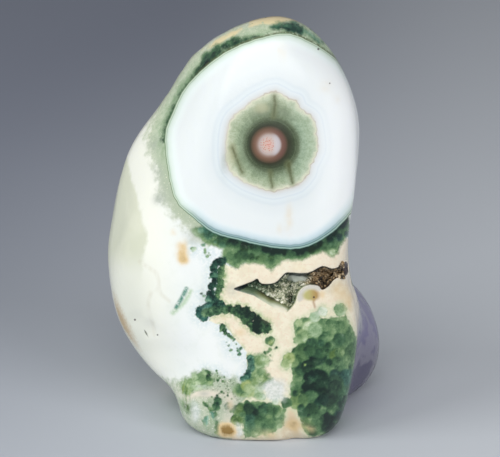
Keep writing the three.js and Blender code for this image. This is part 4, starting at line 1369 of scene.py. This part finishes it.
colour = g.mix(stripe(g, "honey_tail", 0.14, 0.22), colour, srgb(186, 158, 130))
colour = g.mix(edge(g, g.stored("honey"), mid, 0.3, 0.28), colour,
               g.mottled(axes["X"], srgb(188, 182, 122), srgb(178, 146, 92), 8.8, 10.4))
g.report("stains laid")

# %% Stone material: dark specks
SPECK_SOFT, SPECK_CORE = 0.08, 0.04
DARK_SPECKS = [(10.55, 55.75, 0.14), (12.15, 50.75, 0.08), (-16.1, 16.6, 0.13),
               (-12.7, 14.5, 0.10), (9.85, 20.1, 0.13)]
flat_place = g.vector("MULTIPLY", place, (1.0, 1.0, 0.0))
for speck_u, speck_v, speck_radius in DARK_SPECKS:
    away = g.vector("DISTANCE", flat_place, (speck_u, speck_v, 0.0))
    speck = g.both(g.span(away, speck_radius + SPECK_SOFT, speck_radius - SPECK_CORE, 0.0, 0.85),
                   g.span(axes["Z"], -14.0, -12.0))
    colour = g.mix(speck, colour, srgb(66, 54, 56))
print("dark specks:", len(DARK_SPECKS))

# %% Stone material: the pocket's skin
SLOPE_REACH = 1.6
SMOOTH_SPOT, SMOOTH_SHARE = (7.5, 22.9, 0.0), (0.5, 1.0, 0.0)
hollow, depth = g.stored("hollow"), g.stored("depth")
rough_depth = g.sway(mid, 0.5, depth)
rough_depth = g.math("ADD", rough_depth, g.span(axes["X"], 5.4, 3.2, -0.25, 0.36))
# The slope runs from cream to olive, its own colours, and darkens further with depth as painted
# shade.
slope_colour_and_shade = g.ramp(g.math("DIVIDE", rough_depth, SLOPE_REACH), [
    (0.0, srgb(238, 232, 210)), (0.08, srgb(228, 227, 206)), (0.22, srgb(196, 202, 178)),
    (0.4, srgb(150, 158, 122)), (0.62, srgb(104, 108, 68)), (0.85, srgb(62, 64, 46)),
    (1.0, srgb(42, 44, 34))])
slope_colour_and_shade = g.mix(g.span(axes["X"], 2.6, 1.0, 0.0, 0.85), slope_colour_and_shade, srgb(74, 98, 75))
rusty = g.mottled(mid, srgb(86, 64, 46), srgb(40, 36, 32))
rusty = g.mix(g.span(axes["X"], 13.6, 15.2), rusty, srgb(86, 82, 86))
deep_colour = g.mix(g.span(axes["X"], 8.0, 10.5), slope_colour_and_shade, rusty)
spot_place = g.vector("MULTIPLY", g.vector("SUBTRACT", place, SMOOTH_SPOT), SMOOTH_SHARE)
smooth_spot = g.math("MULTIPLY_ADD", mid, 0.6, g.vector("LENGTH", spot_place))
deep_colour = g.mix(g.span(smooth_spot, 1.8, 0.8), deep_colour, srgb(206, 213, 198))
# Painted shadow: a dark band just under the pocket's upper lip.
lip_shadow_reach = g.sway(mid, 0.6, g.stored("lip"))
deep_colour = g.mix(g.span(lip_shadow_reach, -0.70, -0.40), deep_colour, srgb(28, 40, 42))
colour = g.mix(g.span(hollow, 0.0, 0.12), colour, deep_colour)
g.feed(shader.inputs["Base Color"], colour)
g.report("pocket laid")

# %% Stone material: polish
SAWN_ROUGHNESS, POLISH_ROUGHNESS, GRAIN_ROUGHNESS = 0.45, 0.16, 0.05
QUARTZ_IOR = 1.54
grain = g.noise(place, 9.0, 2.0)
polish = g.math("MULTIPLY_ADD", grain, GRAIN_ROUGHNESS, POLISH_ROUGHNESS)
floor_level = g.math("ADD", g.vector("DOT_PRODUCT", place, (0.0, UP_V, UP_W)), FLOOR_DROP)
sawn = g.math("MAXIMUM", g.span(floor_level, 0.25, 0.05), g.span(depth, 0.2, 0.8))
g.feed(shader.inputs["Roughness"], g.blend(sawn, polish, SAWN_ROUGHNESS))
relief = g.math("MULTIPLY_ADD", grain, 0.15, mid)
g.feed(shader.inputs["Normal"], g.node("ShaderNodeBump", {
    "Strength": 0.12, "Distance": 0.0002, "Height": relief}).outputs[0])
shader.inputs["IOR"].default_value = QUARTZ_IOR
shader.inputs["Subsurface Weight"].default_value = 0.15
shader.inputs["Subsurface Radius"].default_value = (1.0, 1.0, 0.8)
shader.inputs["Subsurface Scale"].default_value = 0.0015
stone_mesh.materials.append(jasper)
g.report("stone's finish")

# %% [markdown]
# ## The druse
#
# The pocket's floor is a crust of quartz crystals a third of a millimetre across. A bump map
# could fake the sparkle, but each real facet catches the light on its own and the crystals
# stand up from the floor, so they are meshed: one six-sided crystal with a pointed tip, set
# down over and over, each with its own size, lean and turn.

# %% One crystal
CRYSTAL_RADIUS, CRYSTAL_HEIGHT, CRYSTAL_TAPER, CRYSTAL_TIP = 1.0, 1.6, 0.86, 0.8


def make_crystal():
    """A six-sided prism with a pointed tip, which is scaled when it is set down."""
    bm = bmesh.new()
    bmesh.ops.create_cone(bm, cap_ends=True, cap_tris=False, segments=6,
                          radius1=CRYSTAL_RADIUS, radius2=CRYSTAL_TAPER * CRYSTAL_RADIUS,
                          depth=CRYSTAL_HEIGHT)
    top = max(bm.faces, key=lambda face: face.calc_center_median().z)
    bmesh.ops.poke(bm, faces=[top], offset=CRYSTAL_TIP * CRYSTAL_RADIUS, center_mode="MEAN")
    mesh = bpy.data.meshes.new("crystal")
    bm.to_mesh(mesh)
    bm.free()
    return mesh


crystal = make_crystal()
print("crystal faces:", len(crystal.polygons))

# %% Where the crystals stand
MOST_CRYSTALS = 2400
TRIES_PER_CRYSTAL = 6
SCATTER_U, SCATTER_V = (-1.7, 16.5), (17.5, 27.0)
SLOPE_WIDTH, RIM_CLEARANCE, SIDE_CLEARANCE = 1.25, 0.26, 0.6
BARE_SPOT, BARE_RADII, BARE_END_U = (7.5, 22.95), (1.7, 0.8), 15.4
PROBE = 0.2
rng = np.random.default_rng(20)


def floor_height(u, v):
    """The pocket floor's w."""
    return face_height(u, v) - pocket_depth(u, v)[0]


def bare(u, v):
    """Places where the pocket's skin is smooth and holds no crystals."""
    slope = run_distance(SLOPE_LIP, u, v, closed=False)
    spot = ((u - BARE_SPOT[0]) / BARE_RADII[0]) ** 2 + ((v - BARE_SPOT[1]) / BARE_RADII[1]) ** 2
    return (slope < SLOPE_WIDTH) | (spot < 1) | (u > BARE_END_U)


tried = TRIES_PER_CRYSTAL * MOST_CRYSTALS
cu, cv = rng.uniform(*SCATTER_U, tried), rng.uniform(*SCATTER_V, tried)
kept = (pocket_depth(cu, cv)[1] > RIM_CLEARANCE) & ~bare(cu, cv)
kept &= outline_distance(cu, cv) < -SIDE_CLEARANCE
cu, cv = cu[kept][:MOST_CRYSTALS], cv[kept][:MOST_CRYSTALS]
floor_w = floor_height(cu, cv)
rise_u = (floor_height(cu + PROBE, cv) - floor_w) / PROBE
rise_v = (floor_height(cu, cv + PROBE) - floor_w) / PROBE
print("places for crystals:", len(cu), "of", tried, "tried")

# %% The crystals' tints
# Spots that lighten or darken the crystals' tint. The thin dark band just under the upper lip and
# the dark spot over the deep hole in the floor are painted shade.
DRUSE_SPOTS = [
    (4.9, 20.3, 2.0, 0.9, 0.30), (3.2, 21.8, 2.4, 0.5, -0.25), (6.9, 19.3, 0.6, 1.1, -0.55),
    (8.0, 22.0, 0.9, 0.8, 0.20), (11.3, 21.8, 0.8, 0.7, -0.30), (11.9, 23.6, 0.8, 0.5, 0.25),
    (14.6, 24.4, 1.1, 1.8, -0.40)]
MIDDLE_TINT, TINT_SHARE = 0.5, 0.75
tints = mix(MIDDLE_TINT, rng.random(len(cu)), TINT_SHARE)
for spot_u, spot_v, wide, high, gain in DRUSE_SPOTS:
    tints += gain * np.exp(-((cu - spot_u) / wide) ** 2 - ((cv - spot_v) / high) ** 2)
print("tints, mean:", round(tints.mean(), 2))

# %% Set the crystals down
CRYSTAL_SIZES, SIZE_SHARE = (0.13, 0.30), (0.7, 1.0)
CRYSTAL_LEAN = 0.75
face_turn = Matrix.Rotation(math.pi / 2 - LEAN, 4, "X")
druse_bm = bmesh.new()
for i in range(len(cu)):
    size = rng.uniform(*CRYSTAL_SIZES) * rng.uniform(*SIZE_SHARE)
    lean_x, lean_y = rng.uniform(-CRYSTAL_LEAN, CRYSTAL_LEAN, 2)
    normal = Vector((-rise_u[i], -rise_v[i], 1.0)).normalized()
    out_of_face = Vector((0, 0, 1)).rotation_difference(normal).to_matrix().to_4x4()
    spin = (Matrix.Rotation(lean_x, 4, "X") @ Matrix.Rotation(lean_y, 4, "Y")
            @ Matrix.Rotation(rng.uniform(0, math.pi), 4, "Z") @ Matrix.Scale(size, 4))
    spot = Vector(face_to_part(cu[i], cv[i], floor_w[i])) + Vector(shift)
    piece = crystal.copy()
    piece.transform(Matrix.Scale(MM, 4) @ Matrix.Translation(spot) @ face_turn
                    @ out_of_face @ spin)
    druse_bm.from_mesh(piece)
    bpy.data.meshes.remove(piece)
print("crystals:", len(cu), "faces:", len(druse_bm.faces))

# %% The druse as one piece
druse_mesh = bpy.data.meshes.new("druse")
druse_bm.to_mesh(druse_mesh)
druse_bm.free()
tint_layer = druse_mesh.attributes.new("tint", "FLOAT", "POINT")
tint_layer.data.foreach_set("value", np.repeat(tints, len(crystal.vertices)).astype(np.float32))
druse = bpy.data.objects.new("druse_crystals", druse_mesh)
bpy.context.scene.collection.objects.link(druse)
print("druse vertices:", len(druse_mesh.vertices))

# %% [markdown]
# ## The druse's finish
#
# The crystals are clear to smoky: buff on the left, iron-stained rust on the right. Each one's
# stored tint shifts its colour, and a low roughness lets single facets flash.

# %% Druse material
sparkle, g, shader = new_material("druse_quartz")
place = face_place(g)
axes = g.axes(place)
patchy = g.noise(place, 0.9, 3.0)
tint = g.sway(g.noise(place, 1.3, 3.0, 0.6), 2.6, g.stored("tint"))
buff = g.ramp(tint, [(0.0, srgb(42, 56, 44)), (0.25, srgb(100, 116, 92)),
                     (0.55, srgb(164, 168, 138)), (0.8, srgb(212, 212, 186)),
                     (1.0, srgb(244, 242, 226))])
rust = g.ramp(tint, [(0.0, srgb(40, 38, 34)), (0.35, srgb(98, 84, 64)),
                     (0.7, srgb(168, 140, 102)), (1.0, srgb(224, 206, 172))])
side = g.math("MULTIPLY_ADD", patchy, 2.0, axes["X"])
buff = g.mix(g.span(axes["X"], 4.5, 1.5, 0.0, 0.5), buff, srgb(112, 146, 116))
colour = g.mix(g.span(side, 9.2, 10.8), buff, rust)
g.feed(shader.inputs["Base Color"], colour)
g.feed(shader.inputs["Roughness"], g.span(tint, 0.0, 1.0, 0.28, 0.08))
shader.inputs["IOR"].default_value = QUARTZ_IOR
druse_mesh.materials.append(sparkle)
g.report("druse's finish")

# %% [markdown]
# ## The floor and the light
#
# The stone stands on a plain, pale, cool floor. Its colour is painted darker towards the back and
# the left as painted shade, and lighter on the right as painted light. A polished white stone
# needs broad soft lights, so each light is a panel a quarter of a metre wide. The key panel hangs
# in front of the stone, above and a little to the left, and is the only one that shows as a glint.
# The two side panels are stronger and open up the flanks. They are kept out of reflections,
# because the polish would mirror them as hard white squares.

# %% Floor
FLOOR_REACH, FLOOR_ROUGHNESS = 1.5, 0.7
FLOOR_SLANT, FLOOR_SHADE_FADE, LIT_X = -1.6, (-0.09, 0.25), (-0.02, 0.06)
bm = bmesh.new()
bmesh.ops.create_grid(bm, x_segments=1, y_segments=1, size=FLOOR_REACH)
floor_mesh = bpy.data.meshes.new("floor")
bm.to_mesh(floor_mesh)
bm.free()
floor = bpy.data.objects.new("floor", floor_mesh)
bpy.context.scene.collection.objects.link(floor)
print("floor's width, m:", floor.dimensions.x)

# %% Floor material
paper, g, shader = new_material("paper")
on_floor = g.node("ShaderNodeTexCoord").outputs["Object"]
shade = g.noise(on_floor, 6.0, 2.0)
floor_axes = g.axes(on_floor)
# Painted shade: the floor darkens towards the back and the left. Painted light: it is lighter on the
# right.
away = g.math("MULTIPLY_ADD", floor_axes["X"], FLOOR_SLANT, floor_axes["Y"])
near_colour = g.mix(shade, srgb(196, 202, 210), srgb(204, 209, 216))
far_colour = g.mix(shade, srgb(130, 135, 150), srgb(136, 141, 155))
floor_colour_with_shade = g.mix(g.span(away, *FLOOR_SHADE_FADE), near_colour, far_colour)
lit_side = g.span(floor_axes["X"], *LIT_X, 0.0, 0.5)
g.feed(shader.inputs["Base Color"], g.mix(lit_side, floor_colour_with_shade, srgb(212, 216, 221)))
shader.inputs["Roughness"].default_value = FLOOR_ROUGHNESS
floor_mesh.materials.append(paper)
g.report("floor's finish")

# %% Lights
AIM = Vector((0.0, 0.0, 0.03))
PANELS = [("key", (-0.05, -0.25, 0.33), 0.26, 0.47, (1.0, 0.99, 0.97), True),
          ("left", (-0.34, -0.12, 0.16), 0.26, 1.00, (0.99, 1.0, 0.98), False),
          ("right", (0.30, -0.28, 0.17), 0.24, 0.88, (0.99, 0.98, 1.0), False)]
for name, spot, side, power, tinge, shines in PANELS:
    data = bpy.data.lights.new(name, "AREA")
    data.shape, data.size, data.size_y = "RECTANGLE", side, side
    data.energy, data.color = power, tinge
    light = bpy.data.objects.new(name, data)
    light.location = spot
    light.visible_glossy = shines
    light.rotation_euler = (AIM - Vector(spot)).to_track_quat("-Z", "Y").to_euler()
    bpy.context.scene.collection.objects.link(light)
    print(name, "panel, m from the stone:", round((AIM - Vector(spot)).length, 2))

# %% The sky
SKY_COLOUR, SKY_STRENGTH = (0.93, 0.96, 1.0, 1.0), 0.26
world = bpy.data.worlds.new("studio")
world.use_nodes = True
sky = world.node_tree.nodes["Background"].inputs
sky["Color"].default_value = SKY_COLOUR
sky["Strength"].default_value = SKY_STRENGTH
bpy.context.scene.world = world
bpy.context.scene.view_settings.view_transform = "Standard"
print("sky strength:", SKY_STRENGTH)

# %% [markdown]
# ## Hand the pieces to the model
#
# The dressed stone stands for the packed one, and the crystals stand for the crust. Both ride
# on the one body, and the packed parts are hidden.

# %% Ride on the body and hide the packed parts
for piece, node, slot in ((stone, "stone", "stone"), (druse, "druse_crust", "druse")):
    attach(piece, "root")
    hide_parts(node)
